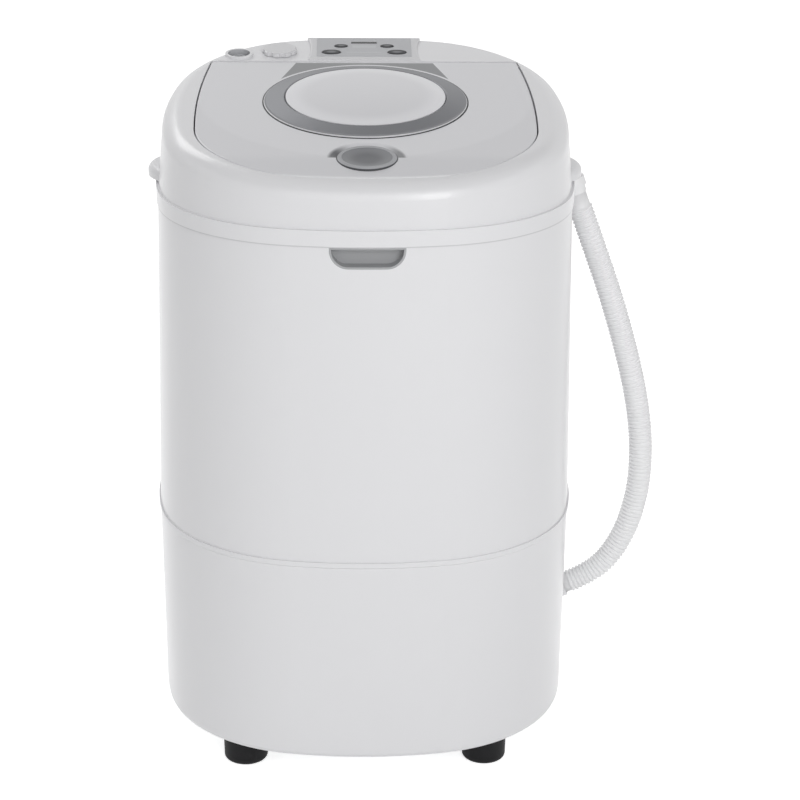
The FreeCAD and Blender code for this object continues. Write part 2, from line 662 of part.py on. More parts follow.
def grip_shape(inset):
    """The grip's outline on the front: flat on top, rounded below, set in by a wall."""
    def draw(drawing):
        half, radius = f"0.5*grip_width - {inset}", f"grip_radius - {inset}"
        inner, low = "0.5*grip_width - grip_radius", f"band_z - grip_height + {inset}"
        turn = "band_z - grip_height + grip_radius"
        top, left = f"band_z - {inset}", f"- 0.5*grip_width + {inset}"
        outline(drawing, [(half, top), (left, top), (left, turn),
                          ("- 0.5*grip_width + grip_radius", low, radius, 1), (inner, low),
                          (half, turn, radius, 1)])
    return draw


def make_cabinet_shell(block):
    body = cabinet_solid("cabinet_walls")
    loft(body, [("waist_z - lip_depth", LIP), ("waist_z", LIP)])
    loft(body, [("waist_z - lip_depth", LIP + " - wall"), ("waist_z", LIP + " - wall"),
                ("waist_z + lip_depth", SKIRT_TOP + " - wall"),
                ("band_z", "cabinet_top_half - wall")], "SubtractiveLoft")
    cut = sketch(body, "XZ_Plane")
    grip_shape("0")(cut)
    pocket(body, cut, "half_width + reach", reverse=True)
    part(body, "cabinet_shell")
    plug = prism("grip_plug", grip_shape("0"), "half_width + rim_proud", role="XZ_Plane")
    core = prism("grip_core", grip_shape("grip_wall"), "half_width + reach", role="XZ_Plane")
    back = box("grip_back", "2*half_width", "half_width", "2*half_width")
    place(back, "- half_width", "grip_depth - cabinet_top_half", "waist_z")
    floor = box("grip_floor", "2*half_width", "half_width", "2*half_width")
    place(floor, "- half_width", "grip_depth - cabinet_top_half - grip_wall", "waist_z")
    cup = boolean("Cut", "grip_cup", boolean("Common", "grip_face", plug, block), back)
    part(boolean("Cut", "grip_insert", cup, boolean("Cut", "grip_hollow", core, floor)), "grip_insert")


def make_trim_band():
    body = new_body("trim_band")
    loft(body, [("band_z", "band_half"), (CAP_Z, "band_half")])
    loft(body, [(SHELF_Z, "band_half - band_wall"), (CAP_Z, "band_half - band_wall")], "SubtractiveLoft")
    mouth = sketch(body, "XY_Plane", CAP_Z)
    circle(mouth, "tub_top + fit", "0", "tub_y")
    pocket(body, mouth)
    part(body, "trim_band")


def hinge_cut(name, radius):
    """Cylinders on the lid's hinge line, one at each rear corner."""
    rods = []
    for side, start in (("right", "hinge_x"), ("left", "- hinge_x - hinge_reach")):
        rod = cylinder(f"{name}_{side}", radius, "hinge_reach")
        across = FreeCAD.Rotation(V(0, 1, 0), size("quarter_turn"))
        on_deck(rod, start, "lid_rear_y - hinge_set", "- hinge_set")
        rod.setExpression("Placement.Rotation.Angle", link("quarter_turn"))
        rod.Placement = FreeCAD.Placement(rod.Placement.Base, across)
        rods.append(rod)
    return rods


def console_side(inset, low, high):
    """Side view of the wedge under the console's face, set in at both ends and lowered from the face."""
    def draw(drawing):
        front, rear = f"console_y + {inset}", f"console_rear - {inset}"
        front_z = f"console_rise + {inset}*tan(console_tilt) - {high}"
        rear_z = (f"console_rise + console_rear*tan(console_tilt) - console_y*tan(console_tilt)"
                  f" - {inset}*tan(console_tilt) - {high}")
        outline(drawing, [(front, f"- {low}"), (rear, f"- {low}"), (rear, rear_z), (front, front_z)])
    return draw


def deck_hole(name, radius, x, y):
    """A round cutter square through the deck."""
    return on_deck(cylinder(name, radius, "2*cut_depth"), x, y, "- cut_depth")


def make_top_cap(solid, hinge_rods):
    outer = cap_form("cap_outer", solid, "0")
    inner = cap_form("cap_inner", cap_solid("cap_core", "wall"), "wall")
    shell = boolean("Cut", "cap_shell", outer, inner)
    well = deck_prism("lid_well", "lid_gap")
    opened = boolean("Cut", "cap_opened", shell, well)
    window = box("console_window", "2*console_cut", "console_rear - console_y - 2*console_edge",
                 "2*cut_depth")
    on_deck(window, "- console_cut", "console_y + console_edge", "- cut_depth")
    holes = [deck_hole("knob_hole", "spindle_radius + move_gap", "knob_x", "knob_y"), window] + hinge_rods
    holes.append(deck_hole("inlet_hole", "inlet_bore + inlet_wall + fit", "inlet_x", "inlet_y"))
    part(boolean("Cut", "top_cap", opened, fuse("cap_holes", *holes)), "top_cap")
    make_lid_tray(inner, well, hinge_rods)


def make_lid_tray(inner, well, hinge_rods):
    """The well under the lid, hung from the cap's skin, and the collar that leads from it to the tub."""
    block = boolean("Common", "tray_block", inner, deck_prism("tray_prism", "lid_gap + tray_wall"))
    slab = boolean("Cut", "tray_slab", block, under_top("tray_under", "lid_depth + lid_clear + tray_wall"))
    floor = under_top("tray_floor", "lid_depth + lid_clear")
    tray = boolean("Cut", "tray_walls", slab, boolean("Cut", "lid_space", well, floor))
    foot_top = COLLAR_Z + " + collar_foot_thick"
    outer = "mouth_radius + collar_wall"
    mouth = place(cylinder("mouth_cut", outer, "cap_rise"), "0", "tub_y", CAP_Z)
    part(boolean("Cut", "lid_tray", tray, fuse("tray_cuts", mouth, *hinge_rods)), "lid_tray")
    tall = turned("collar_tall", [
        ("mouth_radius", COLLAR_Z), ("collar_foot", COLLAR_Z), ("collar_foot", foot_top), (outer, foot_top),
        (outer, "deck_z + cut_depth"), ("mouth_radius", "deck_z + cut_depth")])
    part(boolean("Common", "mouth_collar", place(tall, "0", "tub_y"), floor), "mouth_collar")


def facing(face, frame):
    """How far a face's middle looks along a frame's up direction: 1 is square to it, 0 is edge on."""
    low_u, high_u, low_v, high_v = face.ParameterRange
    normal = face.normalAt((low_u + high_u) / 2, (low_v + high_v) / 2)
    return normal.dot(frame.Rotation.multVec(UP))


def make_lid(solid, hinge_bores):
    plan = boolean("Common", "lid_plan", solid, deck_prism("lid_prism", "0"))
    slab = boolean("Cut", "lid_slab", plan, under_top("lid_under", "lid_depth"))
    deck = on_deck(cylinder("deck_mark", "fit", "fit")).Placement
    doc.removeObject("deck_mark")

    def is_rear_edge(edge):
        ends = [deck.inverse().multVec(vertex.Point) for vertex in edge.Vertexes]
        return all(abs(end.y - size("lid_rear_y")) < TOUCH and abs(end.z) < TOUCH for end in ends)

    rear_soft = rounded("lid_rear_soft", slab, "hinge_set - move_gap", is_rear_edge)

    def is_outline(edge):
        levels = [facing(face, deck) for face in rear_soft.Shape.ancestorsOfType(edge, Part.Face)]
        return max(levels) > LEVEL and abs(min(levels)) < 1 - LEVEL

    soft = rounded("lid_soft", rear_soft, "lid_edge", is_outline)
    hollow = boolean("Common", "lid_hollow", deck_prism("lid_core", "- lid_skin"),
                     under_top("lid_skin_under", "lid_skin"))
    shell = boolean("Cut", "lid_shell", soft, hollow)
    boss = boolean("Common", "latch_boss", soft,
                   deck_hole("latch_post", "scoop_radius + wall", "0", "crease_y"))
    lugs = []
    for side, start in (("right", "hinge_x + lid_clear"), ("left", "- hinge_x - lid_clear - hinge_reach")):
        lug = box(f"lug_{side}", "hinge_reach", "hinge_lug", "cut_depth")
        on_deck(lug, start, "lid_rear_y - hinge_lug", "- 0.5*cut_depth")
        lugs.append(boolean("Common", f"hinge_lug_{side}", soft, lug))
    joined = fuse("lid_joined", shell, boss, *lugs)
    well = on_deck(cylinder("latch_well", "latch_radius + move_gap", "cut_depth"), "0", "crease_y",
                   "- latch_body - latch_travel - move_gap")
    stem = deck_hole("stem_hole", "stem_radius + move_gap", "0", "crease_y")
    dish = on_deck(turned("scoop_dish", [
        ("0", "- scoop_depth"), ("latch_radius", "- scoop_depth"), ("scoop_radius", "0"),
        ("scoop_radius", "lid_depth"), ("0", "lid_depth")]), "0", "crease_y")
    behind = box("scoop_behind", "2*scoop_radius", "scoop_radius", "2*lid_depth")
    scoop = boolean("Common", "scoop", dish, on_deck(behind, "- scoop_radius", "crease_y", "- lid_depth"))
    seat = on_deck(cylinder("ring_recess", "ring_radius + fit", "cut_depth"), "0", "ring_y", "- ring_step")
    hole = deck_hole("ring_hole", "ring_seat + fit", "0", "ring_y")
    recess = inlay_plate("inlay_recess")
    cuts = fuse("lid_cuts", well, stem, scoop, seat, hole, recess, *hinge_bores)
    part(boolean("Cut", "lid_panel", joined, cuts), "lid_panel")
    make_lid_trim()


def inlay_plate(name):
    """The plate between the ring and the lid's rear edge, its front cut to the ring's curve."""
    rear = "lid_rear_y - inlay_set"
    return on_deck(prism(name, lambda drawing: outline(drawing, [
        ("inlay_foot", "inlay_y", "inlay_radius", -1), ("inlay_head", rear), ("- inlay_head", rear),
        ("- inlay_foot", "inlay_y")]), "inlay_thick"), "0", "0", "- inlay_thick")


def make_lid_trim():
    ledge_z = "ring_rise - window_edge"
    seat_in = "ring_seat - lid_skin"
    rim = "window_radius + window_gap"
    ring = turned("lid_ring", [
        (seat_in, "- ring_skirt"), ("ring_seat", "- ring_skirt"), ("ring_seat", "- ring_step"),
        ("ring_radius", "- ring_step"), ("ring_radius", "fit"), (rim + " + ring_bevel", "ring_rise"),
        (rim, "ring_rise - ring_bevel"), (rim, ledge_z), ("window_radius - window_ledge", ledge_z),
        ("window_radius - window_ledge", "- fit"), (seat_in, "- ring_step - fit")])
    part(on_deck(ring, "0", "ring_y"), "lid_ring")
    window = turned("lid_window", [
        ("window_radius", ledge_z), ("window_radius", "ring_rise"),
        ("0", "ring_rise + window_crown", DOME, 1),
        ("0", "ring_rise + window_crown - window_edge"),
        ("window_radius - window_ledge", ledge_z, DOME, -1)])
    part(on_deck(window, "0", "ring_y"), "lid_window")
    part(inlay_plate("hinge_inlay"), "hinge_inlay")
    latch = turned("latch_button", [
        ("0", "- latch_body - stem_length"), ("stem_radius", "- latch_body - stem_length"),
        ("stem_radius", "- latch_body"), ("latch_radius", "- latch_body"),
        ("latch_radius", "latch_proud - latch_rim"), ("latch_radius - latch_rim", "latch_proud"),
        ("latch_radius - 2*latch_rim", "latch_proud"),
        ("latch_radius - 2*latch_rim - latch_lip", "latch_proud - latch_lip"),
        ("0", "latch_proud - latch_dish", DOME, -1)])
    part(on_deck(latch, "0", "crease_y"), "latch_button")


def make_handle(side, sign, solid):
    """A carrying lip on one side wall of the cap."""
    turn = 1 if sign == "" else -1
    inset = "handle_root - handle_inset" if sign == "" else "- handle_root + handle_inset"
    front, rear = "handle_y - handle_half", "handle_y + handle_half"
    root = sign + "handle_root"
    body = prism(f"handle_{side}", lambda drawing: outline(drawing, [
        (inset, front), (root, front), (root, rear, "handle_radius", turn), (inset, rear)]),
        "handle_height", "handle_z")
    top = size("handle_z + handle_height")

    def is_rim(edge):
        return isinstance(edge.Curve, Part.Circle) and min(v.Z for v in edge.Vertexes) > top - TOUCH

    soft = rounded(f"handle_soft_{side}", body, "handle_edge", is_rim)
    part(boolean("Cut", f"side_handle_{side}", soft, solid), f"side_handle_{side}")


KEYS = (("button_power", "- big_x", "big_y", "big"), ("button_start", "big_x", "big_y", "big"),
        ("button_program", "- small_x", "small_y", "small"), ("button_time", "small_x", "small_y", "small"))


def oval(name, x, y, kind, grow, lift, up, down):
    """An oval bar square to the console's face."""
    ring = doc.addObject("Part::Ellipse", name + "_oval")
    for prop, text in (("MajorRadius", f"{kind}_major + {grow}"), ("MinorRadius", f"{kind}_minor + {grow}")):
        setattr(ring, prop, size(text))
        ring.setExpression(prop, link(text))
    on_console(ring, x, y, lift)
    bar = doc.addObject("Part::Extrusion", name)
    bar.Base = ring
    bar.DirMode = "Normal"
    bar.Solid = True
    for prop, text in (("LengthFwd", up), ("LengthRev", down)):
        setattr(bar, prop, size(text))
        bar.setExpression(prop, link(text))
    return bar


def make_console(solid, core):
    wedge = prism("console_wedge", console_side("0", "console_foot", "0"), "2*console_half",
                  role="YZ_Plane", both=True)
    waist = sketch(wedge, "XY_Plane", "cut_depth")
    for sign in ("", "- "):
        x = "console_half - console_waist + console_scoop"
        across = x if sign == "" else "- console_half + console_waist - console_scoop"
        circle(waist, "console_scoop", across, "0.5*console_y + 0.5*console_rear")
    pocket(wedge, waist)
    on_deck(wedge)
    doc.recompute()
    face = on_console(cylinder("face_mark", "fit", "fit")).Placement
    doc.removeObject("face_mark")

    def is_face_edge(edge):
        ends = [face.inverse().multVec(vertex.Point) for vertex in edge.Vertexes]
        return all(abs(end.z) < TOUCH for end in ends) and max(abs(end.y) for end in ends) > TOUCH

    soft = rounded("console_soft", wedge, "console_round", is_face_edge)
    shell = boolean("Cut", "console_shell", boolean("Cut", "console_seated", soft, solid), core)
    holes = [oval(f"{name}_hole", x, y, kind, "move_gap", "0", "key_depth", "key_depth")
             for name, x, y, kind in KEYS]
    keyways = fuse("key_holes", *holes)
    part(boolean("Cut", "control_console", shell, keyways), "control_console")
    film = box("film_sheet", "2*film_half", "film_length", "film_thick")
    on_console(film, "- film_half", "film_front")
    slit_x, slit_y = "- 0.5*display_width", "display_y - 0.5*display_height"
    window = on_console(box("display_window", "display_width", "display_height", "film_thick + fit"),
                        slit_x, slit_y)
    part(boolean("Cut", "control_overlay", film, fuse("film_holes", keyways, window)), "control_overlay")
    part(window, "display_window")
    flange_top = "- console_skin - move_gap"
    for name, x, y, kind in KEYS:
        stem = oval(name + "_stem", x, y, kind, "0", "0", "key_proud", "key_depth")
        flange = oval(name + "_flange", x, y, kind, "key_flange", flange_top, "0", "key_flange")
        top = rounded(name + "_soft", stem, "0.5*key_proud", lambda edge: len(edge.Vertexes) == 1 and
                      face.inverse().multVec(edge.Vertexes[0].Point).z > size("key_proud") - TOUCH)
        part(fuse(name, top, flange), name)
    board_top = "- board_drop + board_thick"
    board = on_console(box("board_sheet", "2*board_half", "board_length", "board_thick"), "- board_half",
                       "board_front", "- board_drop")
    posts = []
    for end, x in enumerate(("board_half - post_inset", "- board_half + post_inset")):
        for row, y in enumerate(("board_front + post_inset", "board_front + board_length - post_inset")):
            post = cylinder(f"board_post_{end}{row}", "post_radius",
                            "board_drop - board_thick - console_skin*cos(console_tilt)")
            posts.append(on_console(post, x, y, board_top))
    part(fuse("control_board", board, *posts), "control_board")


def make_knob_and_inlet(solid):
    knob = turned("level_knob", [
        ("0", "- spindle_length"), ("spindle_radius", "- spindle_length"), ("spindle_radius", "move_gap"),
        ("knob_radius", "move_gap"), ("knob_radius", "knob_height - lobe_cut"),
        ("knob_radius - lobe_cut", "knob_height", "lobe_cut", 1), ("0", "knob_height")])
    flute = sketch(knob)
    circle(flute, "2*lobe_cut", "knob_radius + lobe_cut", "0")
    polar(knob, pocket(knob, flute, reverse=True), "knob_lobes")
    part(on_deck(knob, "knob_x", "knob_y"), "level_knob")
    switch = turned("level_switch", [
        ("spindle_radius + run_fit", "- wall - switch_height"), ("switch_radius", "- wall - switch_height"),
        ("switch_radius", "- wall"), ("spindle_radius + run_fit", "- wall")])
    part(on_deck(switch, "knob_x", "knob_y"), "level_switch")
    low, floor = "- inlet_well - nozzle_tail", "- inlet_well - tray_wall"
    sleeve, lip = "inlet_bore + inlet_wall", "inlet_bore + inlet_wall + inlet_lip"
    nozzle = turned("inlet_nozzle", [
        ("nozzle_bore", low), ("nozzle_radius", low), ("nozzle_radius", floor), (sleeve, floor),
        (sleeve, "inlet_rise"), ("inlet_bore", "inlet_rise"), ("inlet_bore", "- inlet_well"),
        ("nozzle_radius", "- inlet_well"), ("nozzle_radius", "- lid_clear"), ("nozzle_bore", "- lid_clear")])
    on_deck(nozzle, "inlet_x", "inlet_y")
    ring = turned("inlet_ring", [(sleeve, "- inlet_well"), (lip, "- inlet_well"), (lip, "inlet_rise"),
                                 (sleeve, "inlet_rise")])
    on_deck(ring, "inlet_x", "inlet_y")
    part(fuse("inlet_spigot", nozzle, boolean("Cut", "inlet_collar", ring, solid)), "inlet_spigot")
    foot, neck, shoulder = low + " - valve_height", "nozzle_radius + tray_wall", low + " - 0.3*valve_height"
    valve = turned("inlet_valve", [
        ("valve_bore", low), ("valve_bore", foot), ("valve_radius", foot), ("valve_radius", shoulder),
        (neck, shoulder), (neck, low)])
    part(on_deck(valve, "inlet_x", "inlet_y"), "inlet_valve")


def on_drive(body):
    """Put a turned body on the wash drive's axis."""
    return place(body, "0", "tub_y")


def make_tub():
    low, bed, turn = "tub_floor_z", TUB_BED, "tub_floor_z + tub_corner"
    tub = turned("wash_tub", [
        ("bearing_radius", low), ("tub_low - tub_corner", low), ("tub_low", turn, "tub_corner", 1),
        ("tub_top", SHELF_Z), ("tub_flange", SHELF_Z), ("tub_flange", FLANGE_Z), ("tub_top - wall", FLANGE_Z),
        ("tub_low - wall", turn), ("tub_low - tub_corner", bed, "tub_corner - wall", -1),
        ("bearing_radius", bed)])
    drain = sketch(tub, "XY_Plane", bed)
    circle(drain, "drain_radius", "drain_x", "drain_y - tub_y")
    pocket(tub, drain, "wall")
    part(on_drive(tub), "wash_tub")
    seal = turned("tub_seal", [("tub_top", FLANGE_Z), ("collar_foot", FLANGE_Z), ("collar_foot", COLLAR_Z),
                               ("tub_top", COLLAR_Z)])
    part(on_drive(seal), "tub_seal")
    grate_top = "grate_thick"
    grate = turned("drain_grate", [("grate_hole", "0"), ("grate_radius", "0"), ("grate_radius", grate_top),
                                   ("grate_hole", grate_top)])
    slot = sketch(grate)
    circle(slot, "grate_hole", "0.5*drain_radius + grate_hole", "0")
    polar(grate, pocket(grate, slot, reverse=True), "vanes")
    part(place(grate, "drain_x", "drain_y", bed), "drain_grate")


def make_wash_drive():
    top, seat = "tub_floor_z", "tub_floor_z - seal_width - bearing_width"
    throat = "bearing_radius - rim_wall"
    foot, foot_seat = "housing_foot", "housing_foot + bearing_width"
    flange = "tub_floor_z - housing_flange_thick"
    housing = turned("bearing_housing", [
        ("bearing_radius", top), ("bearing_radius", seat), (throat, seat), (throat, foot_seat),
        ("bearing_radius", foot_seat), ("bearing_radius", foot), ("housing_radius", foot),
        ("housing_radius", flange), ("housing_flange", flange), ("housing_flange", top)])
    part(on_drive(housing), "bearing_housing")
    inner = "shaft_radius + run_fit"
    rings = []
    for name, low in (("upper_bearing", seat), ("lower_bearing", foot)):
        high = low + " + bearing_width"
        ring = turned(name, [(inner, low), ("bearing_radius", low), ("bearing_radius", high), (inner, high)])
        rings.append(on_drive(ring))
    compound("shaft_bearings", rings)
    lip_z = "tub_floor_z - seal_width"
    lip = turned("shaft_seal", [(inner, lip_z), ("bearing_radius", lip_z), ("bearing_radius", top),
                                (inner, top)])
    part(on_drive(lip), "shaft_seal")
    shaft = cylinder("drive_shaft", "shaft_radius", "shaft_top - shaft_foot")
    part(place(shaft, "0", "tub_y", "shaft_foot"), "drive_shaft")
    rim, rise = PULSATOR_Z + " + pulsator_rim", PULSATOR_Z + " + pulsator_rise"
    disc = turned("pulsator", [
        ("shaft_radius", PULSATOR_Z), ("pulsator_radius", PULSATOR_Z), ("pulsator_radius", rim),
        ("hub_cap", rise), ("hub_cap", HUB_Z), ("shaft_radius", HUB_Z)])
    fin = sketch(disc, "XZ_Plane")
    outline(fin, [("hub_cap - rim_wall", rise), ("pulsator_radius - rim_wall", PULSATOR_Z + " + rim_wall"),
                  ("pulsator_radius - 2*rim_wall", rim + " + 0.3*vane_height"),
                  ("hub_cap + vane_height", rise + " + 0.5*vane_height"), ("hub_cap + fit", HUB_Z),
                  ("hub_cap - rim_wall", HUB_Z)])
    polar(disc, pad(disc, fin, "vane_width", both=True), "vanes")
    part(on_drive(disc), "pulsator")
    cap_inside = "shaft_radius + run_fit"
    cap = turned("pulsator_cap", [
        (cap_inside, HUB_Z), ("hub_cap", HUB_Z), ("0", HUB_Z + " + vane_height", DOME, 1),
        ("0", "shaft_top"), (cap_inside, "shaft_top")])
    part(on_drive(cap), "pulsator_cap")


def pulley(name, groove, bore, hub):
    """A flanged flat-belt pulley; a wide one has a recess above its web."""
    low, high = GROOVE_FOOT + " - rim_wall", GROOVE_TOP + " + rim_wall"
    edge = groove + " + groove_depth"
    corners = [(bore, low), (edge, low), (edge, GROOVE_FOOT), (groove, GROOVE_FOOT), (groove, GROOVE_TOP),
               (edge, GROOVE_TOP), (edge, high)]
    if hub:
        rim, web = groove + " - 2*rim_wall", low + " + web_thick"
        corners += [(rim, high), (rim, web), (hub, web), (hub, high)]
    return turned(name, corners + [(bore, high)])


def belt_loop(drawing, grow):
    """The belt's loop round both pulleys, grown outward."""
    wide, narrow = f"big_groove + belt_fit + {grow}", f"small_groove + belt_fit + {grow}"
    big, small, span = size(wide), size(narrow), size("belt_centres")
    lean = math.acos((big - small) / span)
    far = V(span, 0, 0)
    corner = V(math.cos(lean), math.sin(lean), 0)
    mirror = V(math.cos(lean), -math.sin(lean), 0)
    around = drawing.addGeometry(Part.ArcOfCircle(Part.Circle(V(0, 0, 0), UP, big), lean, 2 * math.pi - lean))
    lower = drawing.addGeometry(Part.LineSegment(mirror * big, far + mirror * small))
    tip = drawing.addGeometry(Part.ArcOfCircle(Part.Circle(far, UP, small), -lean, lean))
    upper = drawing.addGeometry(Part.LineSegment(far + corner * small, corner * big))
    for first, last in ((around, lower), (lower, tip), (tip, upper), (upper, around)):
        drawing.addConstraint(Sketcher.Constraint("Tangent", first, 2, last, 1))
    for index, text, x in ((around, wide, "0"), (tip, narrow, "belt_centres")):
        bind(drawing, Sketcher.Constraint("Radius", index, size(text)), text)
        pin_point(drawing, index, 3, x, "0")


def make_belt_drive():
    wheel = pulley("driven_pulley", "big_groove", "shaft_radius", "hub_radius")
    hole = sketch(wheel, "XY_Plane", "belt_z")
    circle(hole, "hub_radius", "0.5*big_groove + 0.5*hub_radius - rim_wall", "0")
    polar(wheel, pocket(wheel, hole), "web_holes")
    part(on_drive(wheel), "driven_pulley")
    hexagon = doc.addObject("Part::Prism", "nut_blank")
    hexagon.Polygon = 6
    for prop, text in (("Circumradius", "nut_radius"), ("Height", "nut_height")):
        setattr(hexagon, prop, size(text))
        hexagon.setExpression(prop, link(text))
    place(hexagon, "0", "tub_y", GROOVE_FOOT + " - rim_wall - nut_height")
    bore = place(cylinder("nut_bore", "shaft_radius", "belt_z"), "0", "tub_y")
    part(boolean("Cut", "pulley_nut", hexagon, bore), "pulley_nut")
    small = pulley("motor_pulley", "small_groove", "motor_shaft", None)
    part(place(small, MOTOR_X, MOTOR_Y), "motor_pulley")
    shaft = cylinder("motor_shaft", "motor_shaft", "plate_z + motor_height - belt_z")
    part(place(shaft, MOTOR_X, MOTOR_Y, "belt_z - 2*rim_wall"), "motor_shaft")
    belt = prism("drive_belt", lambda drawing: belt_loop(drawing, "belt_thick"), "belt_width")
    inside = sketch(belt, "XY_Plane", "belt_width")
    belt_loop(inside, "0")
    pocket(belt, inside)
    part(place(belt, "0", "tub_y", "belt_z", "belt_angle", UP), "drive_belt")


def motor_spots():
    """The four places of the motor's rubber mounts, in line with the belt."""
    spots = []
    for ahead in ("- mount_front", "+ mount_rear"):
        for side, back in (("+ mount_half", "- mount_half"), ("- mount_half", "+ mount_half")):
            spots.append((f"{MOTOR_X} {ahead}*cos(belt_angle) {back}*sin(belt_angle)",
                          f"{MOTOR_Y} {ahead}*sin(belt_angle) {side}*cos(belt_angle)"))
    return spots


def make_motor():
    end, stack = "motor_radius - motor_step", "0.25*motor_height"
    top = MOTOR_Z + " + motor_height"
    shaft_end = "plate_z + motor_height - 2*rim_wall"
    body = turned("motor_body", [
        ("motor_shaft + fit", MOTOR_Z), (end, MOTOR_Z), (end, MOTOR_Z + " + " + stack),
        ("motor_radius", MOTOR_Z + " + " + stack), ("motor_radius", top + " - " + stack),
        (end, top + " - " + stack), (end, top + " - motor_step"), (end + " - motor_step", top),
        ("0", top), ("0", shaft_end + " + fit"), ("motor_shaft + fit", shaft_end + " + fit")])
    part(place(body, MOTOR_X, MOTOR_Y), "motor_body")
    half_x, half_y, bend = "plate_half_x", "plate_half_y", "plate_corner"
    in_x, in_y = "plate_half_x - plate_corner", "plate_half_y - plate_corner"
    out_x, out_y = "- plate_half_x + plate_corner", "- plate_half_y + plate_corner"
    plate = prism("motor_plate", lambda drawing: outline(drawing, [
        (in_x, "- " + half_y), (half_x, out_y, bend, 1), (half_x, in_y), (in_x, half_y, bend, 1),
        (out_x, half_y), ("- " + half_x, in_y, bend, 1), ("- " + half_x, out_y),
        (out_x, "- " + half_y, bend, 1)]), "plate_thick", "plate_z")
    holes = sketch(plate, "XY_Plane", MOTOR_Z)
    circle(holes, "2*motor_shaft")
    for x in ("- mount_front", "mount_rear"):
        for y in ("mount_half", "- mount_half"):
            circle(holes, "bolt_radius + fit", x, y)
    pocket(plate, holes)
    part(place(plate, MOTOR_X, MOTOR_Y, "0", "belt_angle", UP), "motor_plate")
    mounts, bolts = [], []
    neck, low = "bolt_radius + fit", PILLAR_TOP + " - bolt_bite"
    for number, (x, y) in enumerate(motor_spots(), 1):
        mount = turned(f"mount_{number}", [
            (neck, PILLAR_TOP), ("mount_radius", PILLAR_TOP),
            ("mount_radius - rim_wall", "plate_z - 0.5*mount_height"), ("mount_radius", "plate_z"),
            (neck, "plate_z")])
        mounts.append(place(mount, x, y))
        bolt = turned(f"bolt_{number}", [
            ("0", low), ("bolt_radius", low), ("bolt_radius", MOTOR_Z), ("bolt_head", MOTOR_Z),
            ("bolt_head", MOTOR_Z + " + bolt_head_height"), ("0", MOTOR_Z + " + bolt_head_height")])
        bolts.append(place(bolt, x, y))
    compound("motor_mounts", mounts)
    compound("motor_bolts", bolts)
    can_top = PLATE_TOP + " + can_height"
    can = turned("capacitor", [
        ("0", PLATE_TOP), ("can_radius", PLATE_TOP), ("can_radius", can_top + " - rim_wall"),
        ("can_radius - rim_wall", can_top, "rim_wall", 1), ("0", can_top)])
    part(place(can, "can_x", "can_y"), "capacitor")


def make_base():
    plate = prism("base_plate", lambda drawing: rounded_square(drawing, "skirt_half - wall - plate_gap"),
                  "plate_floor", PLATE_Z)
    bosses = sketch(plate, "XY_Plane", "foot_height")
    pillars = sketch(plate, "XY_Plane", PLATE_Z)
    for x, y in foot_places():
        circle(bosses, "boss_radius", x + "foot_x", y + "foot_y")
    for x, y in motor_spots():
        circle(pillars, "pillar_radius", x, y)
    pad(plate, bosses, "wall")
    pad(plate, pillars, "plate_z - mount_height - foot_height - wall")
    screw_holes = sketch(plate, "XY_Plane", PLATE_TOP)
    for x, y in foot_places():
        circle(screw_holes, "screw_radius", x + "foot_x", y + "foot_y")
    pocket(plate, screw_holes)
    bolt_holes = sketch(plate, "XY_Plane", PILLAR_TOP)
    for x, y in motor_spots():
        circle(bolt_holes, "bolt_radius", x, y)
    pocket(plate, bolt_holes, "bolt_bite + rim_wall")
    vent = sketch(plate, "XY_Plane", PLATE_TOP)
    circle(vent, "vent_radius", "vent_ring", "0")
    polar(plate, pocket(plate, vent), "vents")
    part(plate, "base_plate")
    feet, screws = [], []
    neck = "screw_radius + fit"
    for number, (x, y) in enumerate(foot_places(), 1):
        foot = turned(f"foot_{number}", [
            ("foot_bore", "0"), ("foot_toe - foot_round", "0"), ("foot_toe", "foot_round", "foot_round", 1),
            ("foot_radius", "foot_height"), (neck, "foot_height"), (neck, "foot_seat"),
            ("foot_bore", "foot_seat")])
        feet.append(place(foot, x + "foot_x", y + "foot_y"))
        head = "foot_seat - screw_radius"
        screw = turned(f"screw_{number}", [
            ("0", head), ("screw_head", head), ("screw_head", "foot_seat"), ("screw_radius", "foot_seat"),
            ("screw_radius", "foot_seat + screw_length"), ("0", "foot_seat + screw_length")])
        screws.append(place(screw, x + "foot_x", y + "foot_y"))
    compound("feet", feet)
    compound("foot_screws", screws)
    gland = turned("cord_gland", [
        ("gland_bore", "- 2*wall"), ("gland_radius", "- 2*wall"), ("gland_radius", "0"),
        ("gland_flange", "0"), ("gland_flange", "rim_wall"), ("gland_radius - rim_wall", "2*rim_wall"),
        ("gland_bore", "2*rim_wall")])
    wall_y = "skirt_half + gland_z*tan(skirt_draft) - foot_height*tan(skirt_draft)"
    part(place(gland, "0", wall_y, "gland_z", "- quarter_turn - skirt_draft"), "cord_gland")


def on_outlet(body):
    """Put a turned body on the outlet's axis, its zero at the hose's end face."""
    return place(body, "outlet_x", "drain_y", "outlet_z", "quarter_turn - outlet_tilt", V(0, 1, 0))


def outlet_cutter():
    """The skirt's hole for the drain pipe, on the outlet's axis."""
    bar = cylinder("outlet_hole", "drain_radius + drain_wall + fit", "2*outlet_depth")
    x, z = "outlet_x - 2*outlet_depth*cos(outlet_tilt)", "outlet_z - 2*outlet_depth*sin(outlet_tilt)"
    return place(bar, x, "drain_y", z, "quarter_turn - outlet_tilt", V(0, 1, 0))


